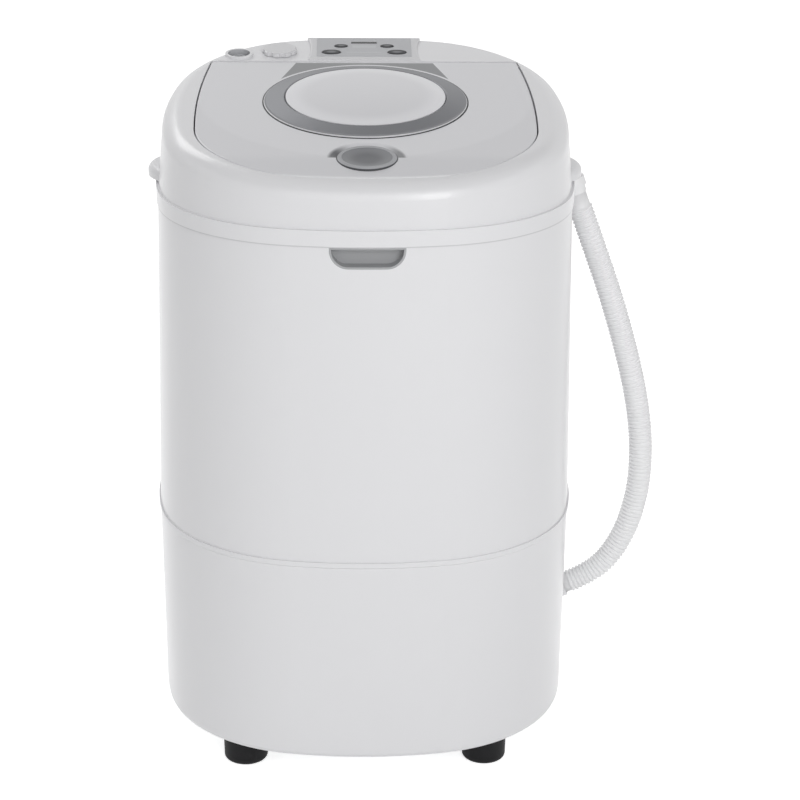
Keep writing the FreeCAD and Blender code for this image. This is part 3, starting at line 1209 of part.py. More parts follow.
def make_drain(skirt_block):
    """Elbow from the tub to the skirt's face, and the outlet that carries the hose."""
    tilt = math.radians(size("outlet_tilt"))
    mouth = V(size("outlet_x"), size("drain_y"), size("outlet_z"))
    bend = mouth - V(math.cos(tilt), 0, math.sin(tilt)) * size("outlet_run")
    head = V(size("drain_x"), size("drain_y"), size("tub_floor_z"))
    path = rounded_path([head, V(head.x, head.y, bend.z), bend, mouth],
                        [size("drain_bend"), size("outlet_bend")])
    doc.recompute()
    pipe = tube(path, size("drain_radius + drain_wall")).cut(tube(path, size("drain_radius")))
    elbow = doc.addObject("Part::Feature", "drain_elbow")
    elbow.Shape = pipe.common(skirt_block.Shape)
    part(elbow, "drain_elbow")
    boss = turned("outlet_boss", [
        ("spigot_bore", "- outlet_depth"), ("outlet_radius", "- outlet_depth"), ("outlet_radius", "0"),
        ("spigot_radius", "0"), ("spigot_radius", "spigot_length"), ("spigot_bore", "spigot_length")])
    part(boolean("Cut", "drain_outlet", on_outlet(boss), skirt_block), "drain_outlet")
    band = "hose_root + run_fit"
    near, far = "rim_wall", "rim_wall + clamp_width"
    ring = turned("hose_clamp", [(band, near), ("clamp_radius", near), ("clamp_radius", far), (band, far)])
    part(on_outlet(ring), "hose_clamp")


# The hose's route after its first straight run, up the right side to its parked end
HOSE_ROUTE = [V(273, 79.5, 137.9), V(287.5, 79, 187.9), V(289.7, 78.5, 241.9), V(282.3, 78, 297.3),
              V(268, 77, 353.5), V(250.2, 76, 410.9), V(230.6, 75, 464.2), V(211.1, 75, 517)]


def hose_points():
    tilt = math.radians(size("outlet_tilt"))
    start = V(size("outlet_x"), size("drain_y"), size("outlet_z"))
    return [start, start + V(math.cos(tilt), 0, math.sin(tilt)) * size("first_run")] + HOSE_ROUTE


def bend_radii(points):
    """A radius for each inner point, from the shorter run beside it and the turn there."""
    radii = []
    for before, point, after in zip(points, points[1:], points[2:]):
        half_turn = (point - before).getAngle(after - point) / 2
        shorter = min((point - before).Length, (after - point).Length)
        radii.append(size("run_share") * shorter / math.tan(half_turn))
    return radii


def station(path, distance):
    """Point and direction at a distance along a wire."""
    for edge in path.Edges:
        if distance <= edge.Length or edge.isSame(path.Edges[-1]):
            at = edge.getParameterByLength(min(distance, edge.Length))
            return edge.valueAt(at), edge.tangentAt(at)
        distance -= edge.Length


def hoop(path, distance, radius):
    """A circle square to a wire; its seam keeps to one side all the way."""
    point, along = station(path, distance)
    side = (V(0, 1, 0) - along * along.dot(V(0, 1, 0))).normalize()
    over = along.cross(side)
    frame = FreeCAD.Placement(FreeCAD.Matrix(side.x, over.x, along.x, point.x, side.y, over.y, along.y,
                                             point.y, side.z, over.z, along.z, point.z, 0, 0, 0, 1))
    ring = Part.Wire(Part.makeCircle(radius))
    ring.Placement = frame
    return ring


def make_hose():
    points = hose_points()
    radii = bend_radii(points)
    path = rounded_path(points, radii)
    plain, root, crest = size("hose_plain"), size("hose_root"), size("hose_radius")
    ribs = int((path.Length - 2 * plain) / size("rib_pitch"))
    pitch = (path.Length - 2 * plain) / ribs
    rings = [hoop(path, 0, root)]
    for rib in range(ribs):
        foot = plain + rib * pitch
        for share, radius in zip(RIB_STEPS, (root, crest, crest, root)):
            rings.append(hoop(path, foot + share * pitch, radius))
    rings.append(hoop(path, path.Length, root))
    skin = Part.makeLoft(rings, True, True)
    bore = tube(path, size("hose_bore"))
    hose = doc.addObject("Part::Feature", "drain_hose")
    hose.Shape = skin.cut(bore)
    part(hose, "drain_hose")
    middle = (root + crest) / 2
    section = math.pi * (middle ** 2 - size("hose_bore") ** 2)
    print("hose bend radii", [round(radius) for radius in radii])
    print("hose ribs", ribs, "volume", round(hose.Shape.Volume), "section by length",
          round(section * path.Length))
    end, along = station(path, path.Length)
    return FreeCAD.Placement(end, FreeCAD.Rotation(UP, along))


# Where the foot, both crest edges and the far foot of a rib lie along one pitch
RIB_STEPS = (0.12, 0.34, 0.66, 0.88)


def make_parked_end(at, cabinet_block):
    """Cuff on the hose's end and the holder that keeps it at the cabinet's side."""
    cuff = turned("hose_cuff", [("cuff_bore", "0"), ("cuff_radius", "0"), ("cuff_radius", "cuff_length"),
                                ("cuff_bore", "cuff_length")])
    cuff.Placement = at
    part(cuff, "hose_cuff")
    inner, low = "cuff_radius + fit", "0.5*cuff_length - 0.5*holder_width"
    outer, high = "cuff_radius + fit + holder_wall", "0.5*cuff_length + 0.5*holder_width"
    ring = turned("holder_ring", [(inner, low), (outer, low), (outer, high), (inner, high)])
    web = sketch(ring, "XY_Plane", low)
    near, far = "- cuff_radius - fit - 0.5*holder_wall", "- 2*cuff_radius - fit"
    outline(web, [(near, "- 0.5*holder_web"), (near, "0.5*holder_web"), (far, "0.5*holder_web"),
                  (far, "- 0.5*holder_web")])
    pad(ring, web, "holder_width")
    ring.Placement = at
    part(boolean("Cut", "hose_holder", ring, cabinet_block), "hose_holder")


cap_block = cap_solid("cap", "0")
cabinet_block = cabinet_solid("cabinet_block")
skirt_block = skirt_solid("skirt_block")
console_core = on_deck(prism("console_core", console_side("console_edge", "cut_depth", "console_skin"),
                             "2*console_cut", role="YZ_Plane", both=True))
hinge_rods = hinge_cut("hinge_pin", "hinge_radius")
make_base_skirt(outlet_cutter())
make_cabinet_shell(cabinet_block)
make_trim_band()
make_top_cap(cap_block, hinge_rods)
compound("hinge_pins", hinge_rods)
make_lid(cap_block, hinge_cut("hinge_bore", "hinge_radius + run_fit"))
make_handle("right", "", cap_block)
make_handle("left", "- ", cap_block)
make_console(cap_block, console_core)
make_knob_and_inlet(cap_block)
make_tub()
make_wash_drive()
make_belt_drive()
make_motor()
make_base()
make_drain(skirt_block)
make_parked_end(make_hose(), cabinet_block)
doc.recompute()

for item in doc.Objects:
    if {"Invalid", "Error"} & set(item.State):
        raise RuntimeError(f"{item.Label} did not build: {item.State}")
for sub_part in parts:
    if sub_part.Shape.isNull() or not sub_part.Shape.isValid() or sub_part.Shape.Volume <= 0:
        raise RuntimeError(f"{sub_part.Label} has no sound shape")

os.makedirs("parts", exist_ok=True)
for sub_part in parts:
    sub_part.Shape.exportStep(f"parts/{sub_part.Label}.step")
    print(sub_part.Label, len(sub_part.Shape.Solids), round(sub_part.Shape.Volume))
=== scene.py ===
import math

import bmesh
import bpy
from bpy.props import FloatProperty, FloatVectorProperty, IntProperty, PointerProperty
from bpy.types import Operator, Panel, PropertyGroup
from mathutils import Matrix, Vector


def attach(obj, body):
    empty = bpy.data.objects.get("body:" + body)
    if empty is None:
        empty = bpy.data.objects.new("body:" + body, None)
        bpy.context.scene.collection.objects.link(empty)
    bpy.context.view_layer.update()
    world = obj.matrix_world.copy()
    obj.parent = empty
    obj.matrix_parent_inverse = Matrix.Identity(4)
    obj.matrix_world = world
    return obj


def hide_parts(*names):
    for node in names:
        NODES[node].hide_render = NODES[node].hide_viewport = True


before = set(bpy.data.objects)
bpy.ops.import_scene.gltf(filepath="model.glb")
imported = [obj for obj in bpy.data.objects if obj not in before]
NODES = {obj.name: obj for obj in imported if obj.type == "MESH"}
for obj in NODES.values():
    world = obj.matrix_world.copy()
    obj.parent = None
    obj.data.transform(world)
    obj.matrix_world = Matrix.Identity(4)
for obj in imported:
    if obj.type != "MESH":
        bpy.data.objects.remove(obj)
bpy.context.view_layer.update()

bl_info = {
    "name": "Mini Washing Machine",
    "version": (1, 0, 0),
    "blender": (4, 5, 0),
    "location": "3D View > Sidebar > Washer",
    "description": "Finishes, drain hose and studio for a top-loading mini washing machine",
    "category": "Object",
}

# The hose's route in metres: out of the skirt, up the right side and into its holder
HOSE_ROUTE = [
    (0.204, 0.080, 0.0837), (0.2444, 0.080, 0.0984), (0.273, 0.0795, 0.1379), (0.2875, 0.079, 0.1879),
    (0.2897, 0.0785, 0.2419), (0.2823, 0.078, 0.2973), (0.268, 0.077, 0.3535), (0.2502, 0.076, 0.4109),
    (0.2306, 0.075, 0.4642), (0.2111, 0.075, 0.517),
]

# Fineness of the hose: steps of its line from point to point, and steps over one rib
LINE_STEPS = 24
RIB_STEPS = 8

# A point on the deck and one on the console's face, in metres, and how steeply the two rise to the rear
DECK_FOOT = (0.0, 0.0, 0.6244)
DECK_LEAN = math.radians(7.6)
CONSOLE_FOOT = (0.0, 0.12082, 0.64133)
CONSOLE_LEAN = math.radians(9.8)

# Rounds of one colour on the deck: their middles, seen from its foot, and their radii in metres
RING_ALONG = 0.0066
LATCH_ALONG = -0.1377
# Outside LID_FRONT the lid's front edge is painted lighter, a painted highlight
LID_FRONT = {"along": 0.381, "radius": 0.5585}
# Inside LID_FRONT, in front of the crease and rear rounds, the lid is painted darker, a painted shade
LID_CREASE = {"along": 0.0223, "radius": 0.16}
LID_REAR = {"along": 0.2, "radius": 0.24}
WINDOW_MIDDLE = {"along": RING_ALONG, "radius": 0.063}
# Painted shade beside the latch button, down to a depth below the deck and faded back to the lid's tone
# towards the rear
LATCH_SCOOP_SHADE = {"along": LATCH_ALONG, "radius": 0.0352}
LATCH_SCOOP_SHADE_DEPTH = 0.0035
LATCH_SCOOP_SHADE_REAR = {"along": LATCH_ALONG + 0.04, "radius": 0.028}
# Outside LATCH_RIM the button's side keeps its dark base colour, a painted shade
LATCH_RIM = {"along": LATCH_ALONG, "radius": 0.0272}
LATCH_DISH = {"along": LATCH_ALONG, "radius": 0.0231}
# Painted shade: a darker round in the middle of the latch's dish
LATCH_MIDDLE_SHADE = {"along": LATCH_ALONG, "radius": 0.0145}
# Painted shade: the inside of the water inlet is painted darker
INLET_WELL_SHADE = {"across": -0.1254, "along": 0.1355, "radius": 0.0113}

# Marks on the console's face, in metres from its foot, and the trim band's seam by its height
DISPLAY_PLATE = {"up": 0.0335, "half_width": 0.0125, "half_height": 0.0032}
LEGEND_LINE = {"up": 0.0182, "half_width": 0.018, "half_height": 0.0009}
LOWER_LENSES = {"across": 0.033, "up": 0.0182, "half_width": 0.0096, "half_height": 0.0056}
UPPER_LENSES = {"across": 0.0232, "up": 0.0348, "half_width": 0.0068, "half_height": 0.0041}
BAND_SEAM = {"level": 0.5397, "half_height": 0.0009}

# Shares of a mark's size where it starts to fade and where it ends
OVAL_FADE = (0.25, 0.7)
BAR_FADE = (0.9, 1.0)
SEAM_FADE = (0.8, 1.0)

# Height of the finishes' fine relief in metres, and the scatter radii of a translucent plastic
RELIEF_HEIGHT = 0.0005
SCATTER = (0.01, 0.01, 0.01)

# Where a Mix node keeps its sockets for colours
MIX_SHARE, MIX_FIRST, MIX_SECOND, MIX_RESULT = 0, 6, 7, 2

# The studio in metres: the lights' places, aims and sizes, half the floor's width and the camera
LIGHTS = {
    "key": {"place": (0.3, -3.4, 2.0), "aim": (0.0, 0.0, 0.35), "size": (3.2, 2.6)},
    "fill": {"place": (0.9, -2.4, 1.3), "aim": (0.0, 0.0, 0.5), "size": (0.45, 1.3)},
    "rim": {"place": (-1.0, 1.3, 2.0), "aim": (-0.1, 0.0, 0.55), "size": (1.0, 1.0)},
}
FLOOR_REACH = 6.0
CAMERA_PLACE = (-0.0257, -2.2558, 1.1447)
CAMERA_CLIP = (0.05, 50.0)

# The camera's pitch, yaw and roll in radians, and its sensor's width in millimetres
CAMERA_PITCH = math.radians(20.0)
CAMERA_YAW = 0.02705
CAMERA_ROLL = 0.00878
SENSOR_WIDTH = 36.0

# Heights of a reflected direction where the studio's walls start to darken and where its ceiling starts
WALL_TOP = 0.46
CEILING_START = 0.66


def linear(level):
    """A display level from 0 to 255 as a linear value."""
    share = level / 255
    return share / 12.92 if share <= 0.04045 else ((share + 0.055) / 1.055) ** 2.4


def tone(red, green, blue):
    """A display colour as linear red, green and blue."""
    return linear(red), linear(green), linear(blue)


def colour_property(name, description, default):
    """A linear colour."""
    return FloatVectorProperty(name=name, description=description, subtype="COLOR", size=3, min=0, max=1,
                               default=default)


def length_property(name, description, default, low, high):
    """A length in metres."""
    return FloatProperty(name=name, description=description, default=default, min=low, max=high,
                         unit="LENGTH")


def power_property(name, description, default):
    """A light's power in watts."""
    return FloatProperty(name=name, description=description, default=default, min=0, max=500, unit="POWER")


class WasherFinishes(PropertyGroup):
    shell: colour_property("Shell", "White casing plastic", tone(230, 230, 232))
    seam: colour_property("Seam", "Lower seam of the trim band", tone(206, 206, 208))
    grip: colour_property("Grip", "Finger grip insert", tone(168, 169, 171))
    lid: colour_property("Lid", "Lid panel, and the window's middle", tone(223, 223, 226))
    # Painted highlight: the lid's front edge is painted lighter than the lid
    lid_edge_highlight: colour_property("Lid edge", "Front edge of the lid", tone(240, 240, 242))
    # Painted shade: the lid in front of its crease is painted darker than the lid
    facet_shade: colour_property("Facet", "Lid in front of its crease", tone(219, 219, 222))
    window: colour_property("Window", "Outer part of the window", tone(234, 234, 237))
    ring: colour_property("Ring", "Silver-grey lacquer of the ring", tone(147, 148, 152))
    # Painted shade: the ring's outer edge in its groove is painted dark
    groove: colour_property("Groove", "Groove round the ring", tone(62, 63, 66))
    # Painted highlight: the trim's outer edge is painted lighter than the ring
    lip_highlight: colour_property("Lip", "Outer edge of the ring's trim", tone(232, 232, 234))
    inlay: colour_property("Inlay", "Plate behind the ring", tone(149, 150, 152))
    # Painted shade: the recess beside the latch button is painted darker than the lid
    scoop_shade: colour_property("Scoop", "Finger scoop behind the latch button", tone(112, 113, 116))
    # Painted shade: the latch button's side is painted dark, for the shade in the gap round it
    latch_side_shade: colour_property("Latch side", "Side of the latch button", tone(88, 89, 92))
    latch_rim: colour_property("Latch rim", "Rim of the latch button", tone(176, 177, 180))
    latch: colour_property("Latch", "Dish of the latch button", tone(145, 146, 149))
    # Painted shade: the dish's middle is painted darker than the dish
    latch_middle_shade: colour_property("Latch middle", "Middle of the dish", tone(124, 125, 128))
    knob: colour_property("Knob", "Level knob and console", tone(218, 218, 220))
    film: colour_property("Film", "Console face film", tone(193, 194, 197))
    plate: colour_property("Plate", "Plate below the display slit", tone(202, 203, 206))
    legend: colour_property("Legend", "Line between the lower buttons", tone(204, 205, 208))
    buttons: colour_property("Buttons", "Console buttons", tone(58, 59, 62))
    lower_lens: colour_property("Lower lenses", "Middles of the lower buttons", tone(122, 123, 126))
    upper_lens: colour_property("Upper lenses", "Middles of the upper buttons", tone(116, 117, 120))
    display: colour_property("Display", "Display slit", tone(48, 49, 52))
    # Painted shade: the inside of the water inlet is painted darker than the shell
    well_shade: colour_property("Well", "Inside of the water inlet", tone(196, 197, 200))
    hose: colour_property("Hose", "Corrugated drain hose", tone(247, 247, 248))
    rubber: colour_property("Rubber", "Feet, seals and belt", tone(20, 20, 22))
    tub: colour_property("Tub", "Wash tub, base plate and small plastic works", tone(222, 225, 228))
    drive: colour_property("Drive", "Pulsator and pulleys", tone(160, 170, 182))
    steel: colour_property("Steel", "Shafts, pins and screws", tone(190, 190, 192))
    paint: colour_property("Paint", "Motor and its plate", tone(92, 94, 98))
    casting: colour_property("Casting", "Bearing housing and capacitor can", tone(188, 188, 190))
    board: colour_property("Board", "Control board", tone(60, 112, 78))


class WasherHose(PropertyGroup):
    crest: length_property("Crest radius", "Radius over the ribs", 0.0123, low=0.005, high=0.03)
    root: length_property("Root radius", "Radius between the ribs", 0.0105, low=0.004, high=0.03)
    bore: length_property("Bore radius", "Radius of the hose's bore", 0.0093, low=0.003, high=0.03)
    pitch: length_property("Rib pitch", "Distance from rib to rib", 0.0042, low=0.002, high=0.02)
    plain: length_property("Plain end", "Smooth length at each end", 0.015, low=0.005, high=0.05)
    sides: IntProperty(name="Sides", description="Faces round the hose", default=36, min=12, max=96)


class WasherTrim(PropertyGroup):
    radius: length_property("Radius", "Outer radius of the ring's trim", 0.0973, low=0.05, high=0.12)
    width: length_property("Width", "Width of the trim", 0.007, low=0.002, high=0.02)
    top: length_property("Top", "Height of the trim's face over the deck at the sides", 0.0009, low=0,
                         high=0.005)
    foot: length_property("Foot", "Depth of the trim below the deck", 0.0004, low=0, high=0.005)
    bevel: length_property("Edge", "Bevel of the trim's outer edge", 0.0004, low=0, high=0.002)
    # Width of the painted highlight on the trim's outer edge
    lip_highlight: length_property("Lip", "Width of the trim's lighter outer edge", 0.0006, low=0, high=0.003)
    lean: FloatProperty(name="Lean", description="How much flatter than the deck the trim lies",
                        default=math.radians(0.5), min=0, max=0.1, unit="ROTATION")
    steps: IntProperty(name="Steps", description="Faces round the trim", default=160, min=24, max=360)


class WasherStage(PropertyGroup):
    floor: colour_property("Floor", "Studio floor", (0.9, 0.9, 0.9))
    glow: FloatProperty(name="Floor glow", description="Light that the floor itself shows to the eye",
                        default=0.75, min=0, max=1)
    ambient: FloatProperty(name="Ambient", description="Light from all round", default=0.48, min=0, max=5)
    ceiling: FloatProperty(name="Ceiling", description="Light of the studio's ceiling in a reflection",
                           default=0.1, min=0, max=1)
    key: power_property("Key light", "Power of the large front light", 25.6)
    fill: power_property("Fill light", "Power of the tall light at the right", 13)
    rim: power_property("Rim light", "Power of the light behind the left side", 10)
    focal: FloatProperty(name="Lens", description="Camera focal length", default=108.376, min=20, max=300,
                         unit="CAMERA")


def settings(name):
    """One of the scene's groups of settings."""
    return getattr(bpy.context.scene, name)


def new_group(name, inputs, outputs):
    """An empty shader group with float inputs, given as (name, default), and float outputs."""
    group = bpy.data.node_groups.new(name, "ShaderNodeTree")
    for label, default in inputs:
        socket = group.interface.new_socket(name=label, in_out="INPUT", socket_type="NodeSocketFloat")
        socket.default_value = default
    for label in outputs:
        group.interface.new_socket(name=label, in_out="OUTPUT", socket_type="NodeSocketFloat")
    return group, group.nodes.new("NodeGroupInput"), group.nodes.new("NodeGroupOutput")


def calculate(tree, operation, first, second=0.0):
    """The result of a Math node on sockets or numbers."""
    node = tree.nodes.new("ShaderNodeMath")
    node.operation = operation
    for slot, value in zip(node.inputs, (first, second)):
        if isinstance(value, (int, float)):
            slot.default_value = value
        else:
            tree.links.new(value, slot)
    return node.outputs[0]


def soft_step(tree, value, full, none):
    """One up to the first level of a value, and down to nought at the second."""
    step = tree.nodes.new("ShaderNodeMapRange")
    step.interpolation_type = "SMOOTHSTEP"
    levels = {"From Min": full, "From Max": none, "To Min": 1.0, "To Max": 0.0}
    for label, level in levels.items():
        step.inputs[label].default_value = level
    tree.links.new(value, step.inputs["Value"])
    return step.outputs["Result"]


def colour_mix(tree, share, first, second):
    """A Mix node from one colour to another, by a mask that gives the second one's share."""
    blend = tree.nodes.new("ShaderNodeMix")
    blend.data_type = "RGBA"
    blend.inputs[MIX_FIRST].default_value = first
    blend.inputs[MIX_SECOND].default_value = second
    tree.links.new(share, blend.inputs[MIX_SHARE])
    return blend


def moulded_skin():
    """Slow mottling and a fine orange-peel relief, as on moulded plastic."""
    if "moulded_skin" in bpy.data.node_groups:
        return bpy.data.node_groups["moulded_skin"]
    group, source, sink = new_group("moulded_skin", [("Grain", 900.0), ("Patch", 14.0)], ["Mottle", "Relief"])
    place = group.nodes.new("ShaderNodeTexCoord")
    fine = group.nodes.new("ShaderNodeTexNoise")
    fine.inputs["Detail"].default_value = 3.0
    slow = group.nodes.new("ShaderNodeTexNoise")
    slow.inputs["Detail"].default_value = 1.0
    slow.inputs["Roughness"].default_value = 0.4
    for noise, scale, result in ((fine, "Grain", "Relief"), (slow, "Patch", "Mottle")):
        group.links.new(place.outputs["Object"], noise.inputs["Vector"])
        group.links.new(source.outputs[scale], noise.inputs["Scale"])
        group.links.new(noise.outputs["Fac"], sink.inputs[result])
    return group


def local_place(group, foot, lean):
    """Object coordinates seen from a point on a face that rises to the rear: across, up and off it."""
    place = group.nodes.new("ShaderNodeTexCoord")
    onto = group.nodes.new("ShaderNodeMapping")
    onto.vector_type = "TEXTURE"
    onto.inputs["Location"].default_value = foot
    onto.inputs["Rotation"].default_value = (lean, 0.0, 0.0)
    apart = group.nodes.new("ShaderNodeSeparateXYZ")
    group.links.new(place.outputs["Object"], onto.inputs["Vector"])
    group.links.new(onto.outputs["Vector"], apart.inputs[0])
    return apart.outputs["X"], apart.outputs["Y"], apart.outputs["Z"]


def from_middle(group, sides):
    """How far a point lies from a middle, from its distances along two axes."""
    squares = [calculate(group, "MULTIPLY", side, side) for side in sides]
    return calculate(group, "SQRT", calculate(group, "ADD", *squares))


def console_mark(name, oval):
    """A mask on the console's face, alike on both sides of its middle: an oval or a bar."""
    if name in bpy.data.node_groups:
        return bpy.data.node_groups[name]
    group, source, sink = new_group(name, [("Across", 0.0), ("Up", 0.02), ("Half Width", 0.01),
                                           ("Half Height", 0.005)], ["Mask"])
    x, y, _ = local_place(group, CONSOLE_FOOT, CONSOLE_LEAN)
    side = calculate(group, "SUBTRACT", calculate(group, "ABSOLUTE", x), source.outputs["Across"])
    across = calculate(group, "DIVIDE", side, source.outputs["Half Width"])
    height = calculate(group, "SUBTRACT", y, source.outputs["Up"])
    up = calculate(group, "DIVIDE", height, source.outputs["Half Height"])
    if oval:
        mask = soft_step(group, from_middle(group, (across, up)), *OVAL_FADE)
    else:
        reaches = [calculate(group, "ABSOLUTE", value) for value in (across, up)]
        mask = soft_step(group, calculate(group, "MAXIMUM", *reaches), *BAR_FADE)
    group.links.new(mask, sink.inputs["Mask"])
    return group


def deck_round(name="deck_round", fade=0.01, depth=None):
    """A mask of a round on the sloping deck, which fades over a share of its radius.

    With a depth it holds only for the rear half, down to that depth below the deck.
    """
    if name in bpy.data.node_groups:
        return bpy.data.node_groups[name]
    group, source, sink = new_group(name, [("Across", 0.0), ("Along", 0.0), ("Radius", 0.01)], ["Mask"])
    x, y, z = local_place(group, DECK_FOOT, DECK_LEAN)
    across = calculate(group, "SUBTRACT", x, source.outputs["Across"])
    along = calculate(group, "SUBTRACT", y, source.outputs["Along"])
    reach = calculate(group, "DIVIDE", from_middle(group, (across, along)), source.outputs["Radius"])
    mask = soft_step(group, reach, 1 - fade / 2, 1 + fade / 2)
    if depth is not None:
        for value, least in ((along, 0.0), (z, -depth)):
            mask = calculate(group, "MULTIPLY", mask, calculate(group, "GREATER_THAN", value, least))
    group.links.new(mask, sink.inputs["Mask"])
    return group


def seam_line():
    """A mask of a thin level line."""
    if "seam_line" in bpy.data.node_groups:
        return bpy.data.node_groups["seam_line"]
    group, source, sink = new_group("seam_line", [("Level", 0.5), ("Half Height", 0.001)], ["Mask"])
    place = group.nodes.new("ShaderNodeTexCoord")
    apart = group.nodes.new("ShaderNodeSeparateXYZ")
    group.links.new(place.outputs["Object"], apart.inputs[0])
    height = calculate(group, "SUBTRACT", apart.outputs["Z"], source.outputs["Level"])
    reach = calculate(group, "DIVIDE", calculate(group, "ABSOLUTE", height), source.outputs["Half Height"])
    group.links.new(soft_step(group, reach, *SEAM_FADE), sink.inputs["Mask"])
    return group


def shade(colour, share):
    """A colour made darker or lighter by a share, with full alpha."""
    return tuple(channel * share for channel in colour) + (1.0,)


def finish(name, colour, rough, change=0.0, grain=900.0, patch=14.0, relief=0.02, metal=0.0, specular=0.5,
           coat=0.0, coat_rough=0.1, subsurface=0.0):
    """A moulded or lacquered finish over a fine relief.

    Its slow mottle takes the roughness over a range, and the colour up and down by the share of change.
    """
    material = bpy.data.materials.new(name)
    material.use_nodes = True
    tree = material.node_tree
    skin = tree.nodes["Principled BSDF"]
    group = tree.nodes.new("ShaderNodeGroup")
    group.node_tree = moulded_skin()
    group.inputs["Grain"].default_value = grain
    group.inputs["Patch"].default_value = patch
    constants = {"Base Color": shade(colour, 1.0), "Metallic": metal, "Specular IOR Level": specular,
                 "Coat Weight": coat, "Coat Roughness": coat_rough, "Subsurface Weight": subsurface,
                 "Subsurface Radius": SCATTER}
    for label, value in constants.items():
        skin.inputs[label].default_value = value
    if change:
        tint = colour_mix(tree, group.outputs["Mottle"], shade(colour, 1 - change), shade(colour, 1 + change))
        tree.links.new(tint.outputs[MIX_RESULT], skin.inputs["Base Color"])
    gloss = tree.nodes.new("ShaderNodeMapRange")
    gloss.inputs["To Min"].default_value, gloss.inputs["To Max"].default_value = rough
    bump = tree.nodes.new("ShaderNodeBump")
    bump.inputs["Strength"].default_value = relief
    bump.inputs["Distance"].default_value = RELIEF_HEIGHT
    tree.links.new(group.outputs["Mottle"], gloss.inputs["Value"])
    tree.links.new(gloss.outputs["Result"], skin.inputs["Roughness"])
    tree.links.new(group.outputs["Relief"], bump.inputs["Height"])
    tree.links.new(bump.outputs["Normal"], skin.inputs["Normal"])
    return material


def mark(material, group, colour, **values):
    """Lay a second colour over a finish where a mask group with these input values says so."""
    tree = material.node_tree
    mask = tree.nodes.new("ShaderNodeGroup")
    mask.node_tree = group
    for label, value in values.items():
        mask.inputs[label.replace("_", " ").title()].default_value = value
    under = tree.nodes["Principled BSDF"].inputs["Base Color"]
    blend = colour_mix(tree, mask.outputs["Mask"], under.default_value, shade(colour, 1.0))
    if under.is_linked:
        tree.links.new(under.links[0].from_socket, blend.inputs[MIX_FIRST])
    tree.links.new(blend.outputs[MIX_RESULT], under)


def dress(material, *names):
    """Give one finish to CAD nodes."""
    for name in names:
        mesh = NODES[name].data
        mesh.materials.clear()
        mesh.materials.append(material)


def piece(name, mesh, body, material):
    """A finished object at the origin that rides on a body."""
    obj = bpy.data.objects.new(name, mesh)
    bpy.context.scene.collection.objects.link(obj)
    mesh.materials.append(material)
    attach(obj, body)
    return obj


def turned(outline, axis, steps, closed=False):
    """An open or closed outline, given as points, turned once round an axis through the origin."""
    work = bmesh.new()
    corners = [work.verts.new(point) for point in outline]
    following = corners[1:] + corners[:1] if closed else corners[1:]
    edges = [work.edges.new(pair) for pair in zip(corners, following)]
    bmesh.ops.spin(work, geom=corners + edges, cent=(0, 0, 0), axis=axis, angle=2 * math.pi, steps=steps,
                   use_merge=True)
    bmesh.ops.recalc_face_normals(work, faces=work.faces)
    return work


def to_mesh(work, name):
    """A mesh from finished bmesh work."""
    data = bpy.data.meshes.new(name)
    work.to_mesh(data)
    work.free()
    return data


class WASHER_OT_casing(Operator):
    """Finish the skirt, cabinet, band, cap, carrying lips and finger grip"""
    bl_idname = "washer.casing"
    bl_label = "Casing"

    def execute(self, context):
        colours = settings("washer_finishes")
        gloss = {"rough": (0.28, 0.31), "patch": 6.0, "coat": 0.1, "coat_rough": 0.12}
        shell = finish("shell_white", colours.shell, **gloss)
        dress(shell, "base_skirt", "cabinet_shell", "top_cap", "lid_tray", "mouth_collar", "side_handle_left",
              "side_handle_right")
        band = finish("band_white", colours.shell, **gloss)
        mark(band, seam_line(), colours.seam, **BAND_SEAM)
        dress(band, "trim_band")
        grip = finish("grip_grey", colours.grip, rough=(0.4, 0.55), change=0.03, grain=1800.0, relief=0.12)
        dress(grip, "grip_insert")
        return {"FINISHED"}


class WASHER_OT_lid(Operator):
    """Finish the lid panel with its window, rear inlay and latch button, and the ring with its trim"""
    bl_idname = "washer.lid"
    bl_label = "Lid"

    def execute(self, context):
        colours = settings("washer_finishes")
        finish_panel(colours)
        finish_ring(colours)
        inlay = finish("inlay_grey", colours.inlay, rough=(0.35, 0.5), change=0.03, relief=0.05)
        dress(inlay, "hinge_inlay")
        finish_latch(colours)
        return {"FINISHED"}


def finish_panel(colours):
    """The lid's panel, from its front edge back to its rear, and its window, with a painted highlight on the
    front edge and painted shade in front of the crease and beside the latch.
    """
    # Painted highlight: the base colour shows only on the front edge strip outside LID_FRONT
    panel = finish("lid_grey", colours.lid_edge_highlight, rough=(0.28, 0.32), patch=6.0)
    # Painted shade: the lid in front of its crease is painted darker
    mark(panel, deck_round(), colours.facet_shade, **LID_FRONT)
    # The crease and rear rounds give back the lid's own tone behind the painted shade
    mark(panel, deck_round("lid_crease", fade=0.05), colours.lid, **LID_CREASE)
    mark(panel, deck_round(), colours.lid, **LID_REAR)
    # Painted shade in the recess beside the latch button, faded back to the lid's tone towards its rear
    mark(panel, deck_round("latch_scoop", fade=0.12, depth=LATCH_SCOOP_SHADE_DEPTH), colours.scoop_shade, **LATCH_SCOOP_SHADE)
    mark(panel, deck_round("scoop_rear", fade=0.9), colours.lid, **LATCH_SCOOP_SHADE_REAR)
    dress(panel, "lid_panel")
    window = finish("window_grey", colours.window, rough=(0.3, 0.34), patch=9.0)
    mark(window, deck_round("window_dome", fade=0.3), colours.lid, **WINDOW_MIDDLE)
    dress(window, "lid_window")


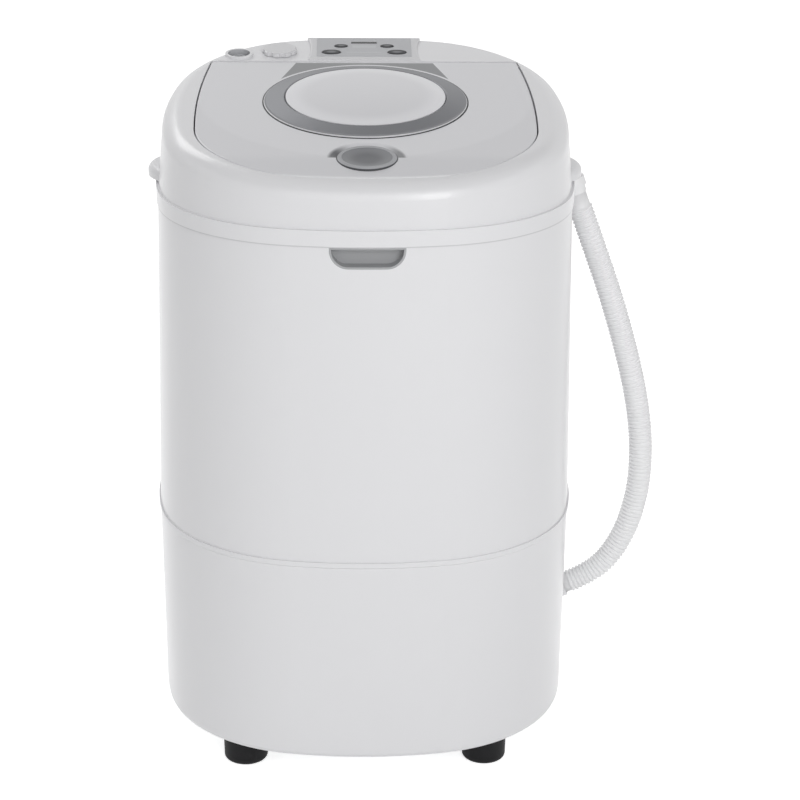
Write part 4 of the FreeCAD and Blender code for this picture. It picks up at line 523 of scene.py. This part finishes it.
def finish_ring(colours):
    """The lid's ring in its groove, with painted shade at its outer edge, and the trim with a painted
    highlight on its outer edge.
    """
    sizes = settings("washer_trim")
    gloss = {"rough": (0.42, 0.5), "metal": 0.35, "specular": 0.3, "relief": 0.03}
    # Painted shade: the dark base colour shows only at the ring's outer edge in its groove
    ring = finish("ring_grey", colours.groove, **gloss)
    mark(ring, deck_round(), colours.ring, along=RING_ALONG, radius=sizes.radius)
    dress(ring, "lid_ring")
    # Painted highlight: the light base colour shows only at the trim's outer edge
    trim = finish("trim_grey", colours.lip_highlight, **gloss)
    mark(trim, deck_round("trim_face", fade=0.004), colours.ring, along=RING_ALONG,
         radius=sizes.radius - sizes.lip_highlight)
    piece("ring_trim", trim_mesh(sizes), "lid", trim)


def finish_latch(colours):
    """The latch button, from its side with painted shade over its rim to the middle of its dish, painted
    darker as a painted shade.
    """
    # Painted shade: the dark base colour shows only on the button's side, outside its rim
    latch = finish("latch_silver", colours.latch_side_shade, rough=(0.42, 0.48), metal=0.1, specular=0.15)
    mark(latch, deck_round(), colours.latch_rim, **LATCH_RIM)
    mark(latch, deck_round(), colours.latch, **LATCH_DISH)
    # Painted shade: the dish is painted darker towards its middle
    mark(latch, deck_round("latch_dome", fade=0.9), colours.latch_middle_shade, **LATCH_MIDDLE_SHADE)
    dress(latch, "latch_button")


def trim_mesh(sizes):
    """The ring's outer trim: a flat hoop with a soft outer edge, a little flatter than the deck."""
    edge = sizes.radius
    inner = sizes.radius - sizes.width
    outline = [(inner, sizes.top), (edge - sizes.bevel, sizes.top), (edge, sizes.top - sizes.bevel),
               (edge, -sizes.foot), (inner, -sizes.foot)]
    points = [(radius, 0.0, height) for radius, height in outline]
    work = turned(points, axis=(0, 0, 1), steps=sizes.steps, closed=True)
    onto = Matrix.Translation(DECK_FOOT) @ Matrix.Rotation(DECK_LEAN, 4, "X")
    onto = onto @ Matrix.Translation((0.0, RING_ALONG, 0.0)) @ Matrix.Rotation(-sizes.lean, 4, "X")
    bmesh.ops.transform(work, matrix=onto, verts=work.verts)
    return to_mesh(work, "ring_trim")


class WASHER_OT_console(Operator):
    """Finish the console, its film, display and buttons"""
    bl_idname = "washer.console"
    bl_label = "Console"

    def execute(self, context):
        colours = settings("washer_finishes")
        dress(finish("console_white", colours.knob, rough=(0.3, 0.36)), "control_console")
        film = finish("film_grey", colours.film, rough=(0.35, 0.45), change=0.02)
        bar = console_mark("console_bar", oval=False)
        mark(film, bar, colours.plate, **DISPLAY_PLATE)
        mark(film, bar, colours.legend, **LEGEND_LINE)
        dress(film, "control_overlay")
        buttons = finish("key_dark", colours.buttons, rough=(0.35, 0.45), change=0.05)
        oval = console_mark("console_oval", oval=True)
        mark(buttons, oval, colours.lower_lens, **LOWER_LENSES)
        mark(buttons, oval, colours.upper_lens, **UPPER_LENSES)
        dress(buttons, "button_power", "button_start", "button_program", "button_time")
        display = finish("display_black", colours.display, rough=(0.08, 0.14), change=0.05, relief=0.0)
        dress(display, "display_window")
        return {"FINISHED"}


class WASHER_OT_deck_fittings(Operator):
    """Finish the level knob and the water inlet"""
    bl_idname = "washer.deck_fittings"
    bl_label = "Knob and inlet"

    def execute(self, context):
        colours = settings("washer_finishes")
        dress(finish("knob_white", colours.knob, rough=(0.3, 0.36)), "level_knob")
        inlet = finish("inlet_white", colours.shell, rough=(0.28, 0.34))
        # Painted shade: the inside of the water inlet is painted darker
        mark(inlet, deck_round(), colours.well_shade, **INLET_WELL_SHADE)
        dress(inlet, "inlet_spigot")
        return {"FINISHED"}


class WASHER_OT_hose(Operator):
    """Make the corrugated drain hose along its route, and finish its fittings"""
    bl_idname = "washer.hose"
    bl_label = "Drain hose"

    def execute(self, context):
        sizes = settings("washer_hose")
        colours = settings("washer_finishes")
        white = finish("hose_white", colours.hose, rough=(0.38, 0.5), change=0.02, subsurface=0.15)
        dress(white, "hose_cuff", "hose_holder", "drain_outlet", "drain_elbow", "drain_hose")
        line = route_line()
        path = line_points(line)
        length = sum((b - a).length for a, b in zip(path, path[1:]))
        bent = bend_along(straight_hose(sizes, length), line)
        hose = piece("drain_hose_ribbed", bent, "cabinet", white)
        for polygon in bent.polygons:
            polygon.use_smooth = True
        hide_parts("drain_hose")
        return {"FINISHED"}


def route_line():
    """The hose's centreline as one smooth spline over its route points."""
    curve = bpy.data.curves.new("hose_line", "CURVE")
    curve.dimensions = "3D"
    curve.resolution_u = LINE_STEPS
    spline = curve.splines.new("NURBS")
    spline.points.add(len(HOSE_ROUTE) - 1)
    for point, place in zip(spline.points, HOSE_ROUTE):
        point.co = (*place, 1.0)
    spline.order_u = 3
    spline.use_endpoint_u = True
    line = bpy.data.objects.new("hose_line", curve)
    bpy.context.scene.collection.objects.link(line)
    return line


def evaluated_mesh(obj):
    """A new mesh of an object as its modifiers or its curve make it."""
    bpy.context.view_layer.update()
    return bpy.data.meshes.new_from_object(obj.evaluated_get(bpy.context.evaluated_depsgraph_get()))


def line_points(line):
    """Points along a curve, in order."""
    mesh = evaluated_mesh(line)
    points = [vertex.co.copy() for vertex in mesh.vertices]
    bpy.data.meshes.remove(mesh)
    return points


def straight_hose(sizes, length):
    """A straight ribbed tube along X, turned from its outline."""
    ribbed = length - 2 * sizes.plain
    ribs = round(ribbed / sizes.pitch)
    pitch = ribbed / ribs
    swell = sizes.crest - sizes.root
    outline = [(0.0, sizes.bore), (0.0, sizes.root)]
    for rib in range(ribs):
        foot = sizes.plain + rib * pitch
        for step in range(RIB_STEPS):
            height = 0.5 - 0.5 * math.cos(2 * math.pi * step / RIB_STEPS)
            outline.append((foot + step * pitch / RIB_STEPS, sizes.root + swell * height))
    outline += [(length - sizes.plain, sizes.root), (length, sizes.root), (length, sizes.bore)]
    points = [(along, 0.0, radius) for along, radius in outline]
    return to_mesh(turned(points, axis=(1, 0, 0), steps=sizes.sides), "hose_straight")


def bend_along(data, line):
    """Bend a mesh that lies along X to follow a curve, and keep only the result."""
    carrier = bpy.data.objects.new("hose_straight", data)
    bpy.context.scene.collection.objects.link(carrier)
    follow = carrier.modifiers.new("follow", "CURVE")
    follow.object = line
    follow.deform_axis = "POS_X"
    bent = evaluated_mesh(carrier)
    bent.name = "drain_hose_ribbed"
    bpy.data.objects.remove(carrier)
    bpy.data.meshes.remove(data)
    bpy.data.objects.remove(line)
    return bent


class WASHER_OT_feet(Operator):
    """Finish the feet and the other rubber parts"""
    bl_idname = "washer.feet"
    bl_label = "Feet and rubber"

    def execute(self, context):
        colours = settings("washer_finishes")
        rubber = finish("foot_black", colours.rubber, rough=(0.5, 0.7), change=0.15, grain=1400.0, relief=0.2,
                        specular=0.2)
        dress(rubber, "feet", "motor_mounts", "drive_belt", "tub_seal", "shaft_seal", "cord_gland")
        return {"FINISHED"}


class WASHER_OT_inner_works(Operator):
    """Finish the tub, the wash drive, the motor and the other works inside, with the base plate"""
    bl_idname = "washer.inner_works"
    bl_label = "Inner works"

    def execute(self, context):
        colours = settings("washer_finishes")
        tub = finish("tub_plastic", colours.tub, rough=(0.35, 0.5), change=0.02)
        dress(tub, "wash_tub", "drain_grate", "inlet_valve", "level_switch", "base_plate")
        drive = finish("pulsator_plastic", colours.drive, rough=(0.35, 0.5), change=0.03)
        dress(drive, "pulsator", "pulsator_cap", "driven_pulley", "motor_pulley")
        steel = finish("steel", colours.steel, rough=(0.3, 0.45), change=0.08, metal=1.0, relief=0.05)
        dress(steel, "drive_shaft", "pulley_nut", "motor_shaft", "motor_bolts", "foot_screws", "hinge_pins",
              "hose_clamp", "shaft_bearings")
        paint = finish("motor_paint", colours.paint, rough=(0.4, 0.6), change=0.1, relief=0.1)
        dress(paint, "motor_body", "motor_plate")
        casting = finish("housing_cast", colours.casting, rough=(0.4, 0.6), change=0.08, metal=0.9,
                         grain=600.0, relief=0.2)
        dress(casting, "bearing_housing", "capacitor")
        dress(finish("board_green", colours.board, rough=(0.35, 0.5), change=0.08), "control_board")
        return {"FINISHED"}


class WASHER_OT_stage(Operator):
    """Make the studio: floor, background, lights and camera"""
    bl_idname = "washer.stage"
    bl_label = "Studio"

    def execute(self, context):
        stage = settings("washer_stage")
        make_floor(stage)
        make_background(stage)
        for name, light in LIGHTS.items():
            add_light(name + "_light", power=getattr(stage, name), **light)
        add_camera(stage)
        context.scene.view_settings.view_transform = "Standard"
        return {"FINISHED"}


def seen_directly(tree):
    """Light Path mask: one for what the eye, a gloss or a clear piece sees, otherwise nought."""
    path = tree.nodes.new("ShaderNodeLightPath")
    seen = calculate(tree, "MAXIMUM", path.outputs["Is Camera Ray"], path.outputs["Is Glossy Ray"])
    return calculate(tree, "MAXIMUM", seen, path.outputs["Is Transmission Ray"])


def make_floor(stage):
    """A pale matte floor, with a glow that only the eye and reflections see."""
    work = bmesh.new()
    bmesh.ops.create_grid(work, x_segments=2, y_segments=2, size=FLOOR_REACH)
    data = to_mesh(work, "studio_floor")
    material = bpy.data.materials.new("studio_floor")
    material.use_nodes = True
    tree = material.node_tree
    matte = tree.nodes["Principled BSDF"]
    constants = {"Base Color": (*stage.floor, 1.0), "Roughness": 0.9, "Specular IOR Level": 0.0,
                 "Emission Color": (1.0, 1.0, 1.0, 1.0)}
    for label, value in constants.items():
        matte.inputs[label].default_value = value
    glow = calculate(tree, "MULTIPLY", seen_directly(tree), stage.glow)
    tree.links.new(glow, matte.inputs["Emission Strength"])
    data.materials.append(material)
    floor = bpy.data.objects.new("studio_floor", data)
    bpy.context.scene.collection.objects.link(floor)


def make_background(stage):
    """Even light from all round; to the eye and in reflections white walls under a dark ceiling."""
    world = bpy.data.worlds.new("studio_world")
    bpy.context.scene.world = world
    world.use_nodes = True
    tree = world.node_tree
    light = tree.nodes["Background"]
    light.inputs["Color"].default_value = (1.0, 1.0, 1.0, 1.0)
    place = tree.nodes.new("ShaderNodeTexCoord")
    height = tree.nodes.new("ShaderNodeSeparateXYZ")
    tree.links.new(place.outputs["Generated"], height.inputs[0])
    walls = tree.nodes.new("ShaderNodeMapRange")
    levels = {"From Min": WALL_TOP, "From Max": CEILING_START, "To Min": 1.0, "To Max": stage.ceiling}
    for label, level in levels.items():
        walls.inputs[label].default_value = level
    tree.links.new(height.outputs["Z"], walls.inputs["Value"])
    strength = tree.nodes.new("ShaderNodeMix")
    strength.inputs["A"].default_value = stage.ambient
    tree.links.new(walls.outputs["Result"], strength.inputs["B"])
    tree.links.new(seen_directly(tree), strength.inputs["Factor"])
    tree.links.new(strength.outputs["Result"], light.inputs["Strength"])


def add_light(name, place, aim, size, power):
    """A rectangular light that points at its aim."""
    data = bpy.data.lights.new(name, "AREA")
    data.shape = "RECTANGLE"
    data.size, data.size_y = size
    data.energy = power
    light = bpy.data.objects.new(name, data)
    light.location = place
    light.rotation_euler = (Vector(aim) - Vector(place)).to_track_quat("-Z", "Y").to_euler()
    bpy.context.scene.collection.objects.link(light)


def add_camera(stage):
    """The camera at the photograph's angle, from its pitch, yaw and roll."""
    data = bpy.data.cameras.new("studio_camera")
    data.sensor_width = SENSOR_WIDTH
    data.lens = stage.focal
    data.clip_start, data.clip_end = CAMERA_CLIP
    camera = bpy.data.objects.new("studio_camera", data)
    level = Matrix.Rotation(-CAMERA_YAW, 4, "Z") @ Matrix.Rotation(math.pi / 2, 4, "X")
    tilt = Matrix.Rotation(-CAMERA_PITCH, 4, "X") @ Matrix.Rotation(CAMERA_ROLL, 4, "Z")
    camera.matrix_world = Matrix.Translation(CAMERA_PLACE) @ level @ tilt
    bpy.context.scene.collection.objects.link(camera)
    bpy.context.scene.camera = camera


class WASHER_PT_panel(Panel):
    """Buttons for all pieces and the studio, and their settings"""
    bl_idname = "WASHER_PT_panel"
    bl_label = "Mini Washing Machine"
    bl_space_type = "VIEW_3D"
    bl_region_type = "UI"
    bl_category = "Washer"

    def draw(self, context):
        for operator in OPERATORS:
            self.layout.operator(operator.bl_idname)
        for name, kind in GROUPS:
            group = settings(name)
            box = self.layout.box()
            for key in kind.__annotations__:
                box.prop(group, key)


OPERATORS = (WASHER_OT_casing, WASHER_OT_lid, WASHER_OT_console, WASHER_OT_deck_fittings, WASHER_OT_hose,
             WASHER_OT_feet, WASHER_OT_inner_works, WASHER_OT_stage)
GROUPS = (("washer_finishes", WasherFinishes), ("washer_hose", WasherHose), ("washer_trim", WasherTrim),
          ("washer_stage", WasherStage))


def register():
    for name, group in GROUPS:
        bpy.utils.register_class(group)
        setattr(bpy.types.Scene, name, PointerProperty(type=group))
    for item in (*OPERATORS, WASHER_PT_panel):
        bpy.utils.register_class(item)


def unregister():
    for item in (WASHER_PT_panel, *reversed(OPERATORS)):
        bpy.utils.unregister_class(item)
    for name, group in reversed(GROUPS):
        delattr(bpy.types.Scene, name)
        bpy.utils.unregister_class(group)


def main():
    register()
    bpy.ops.washer.casing()
    bpy.ops.washer.lid()
    bpy.ops.washer.console()
    bpy.ops.washer.deck_fittings()
    bpy.ops.washer.hose()
    bpy.ops.washer.feet()
    bpy.ops.washer.inner_works()
    bpy.ops.washer.stage()


if __name__ == "__main__":
    main()
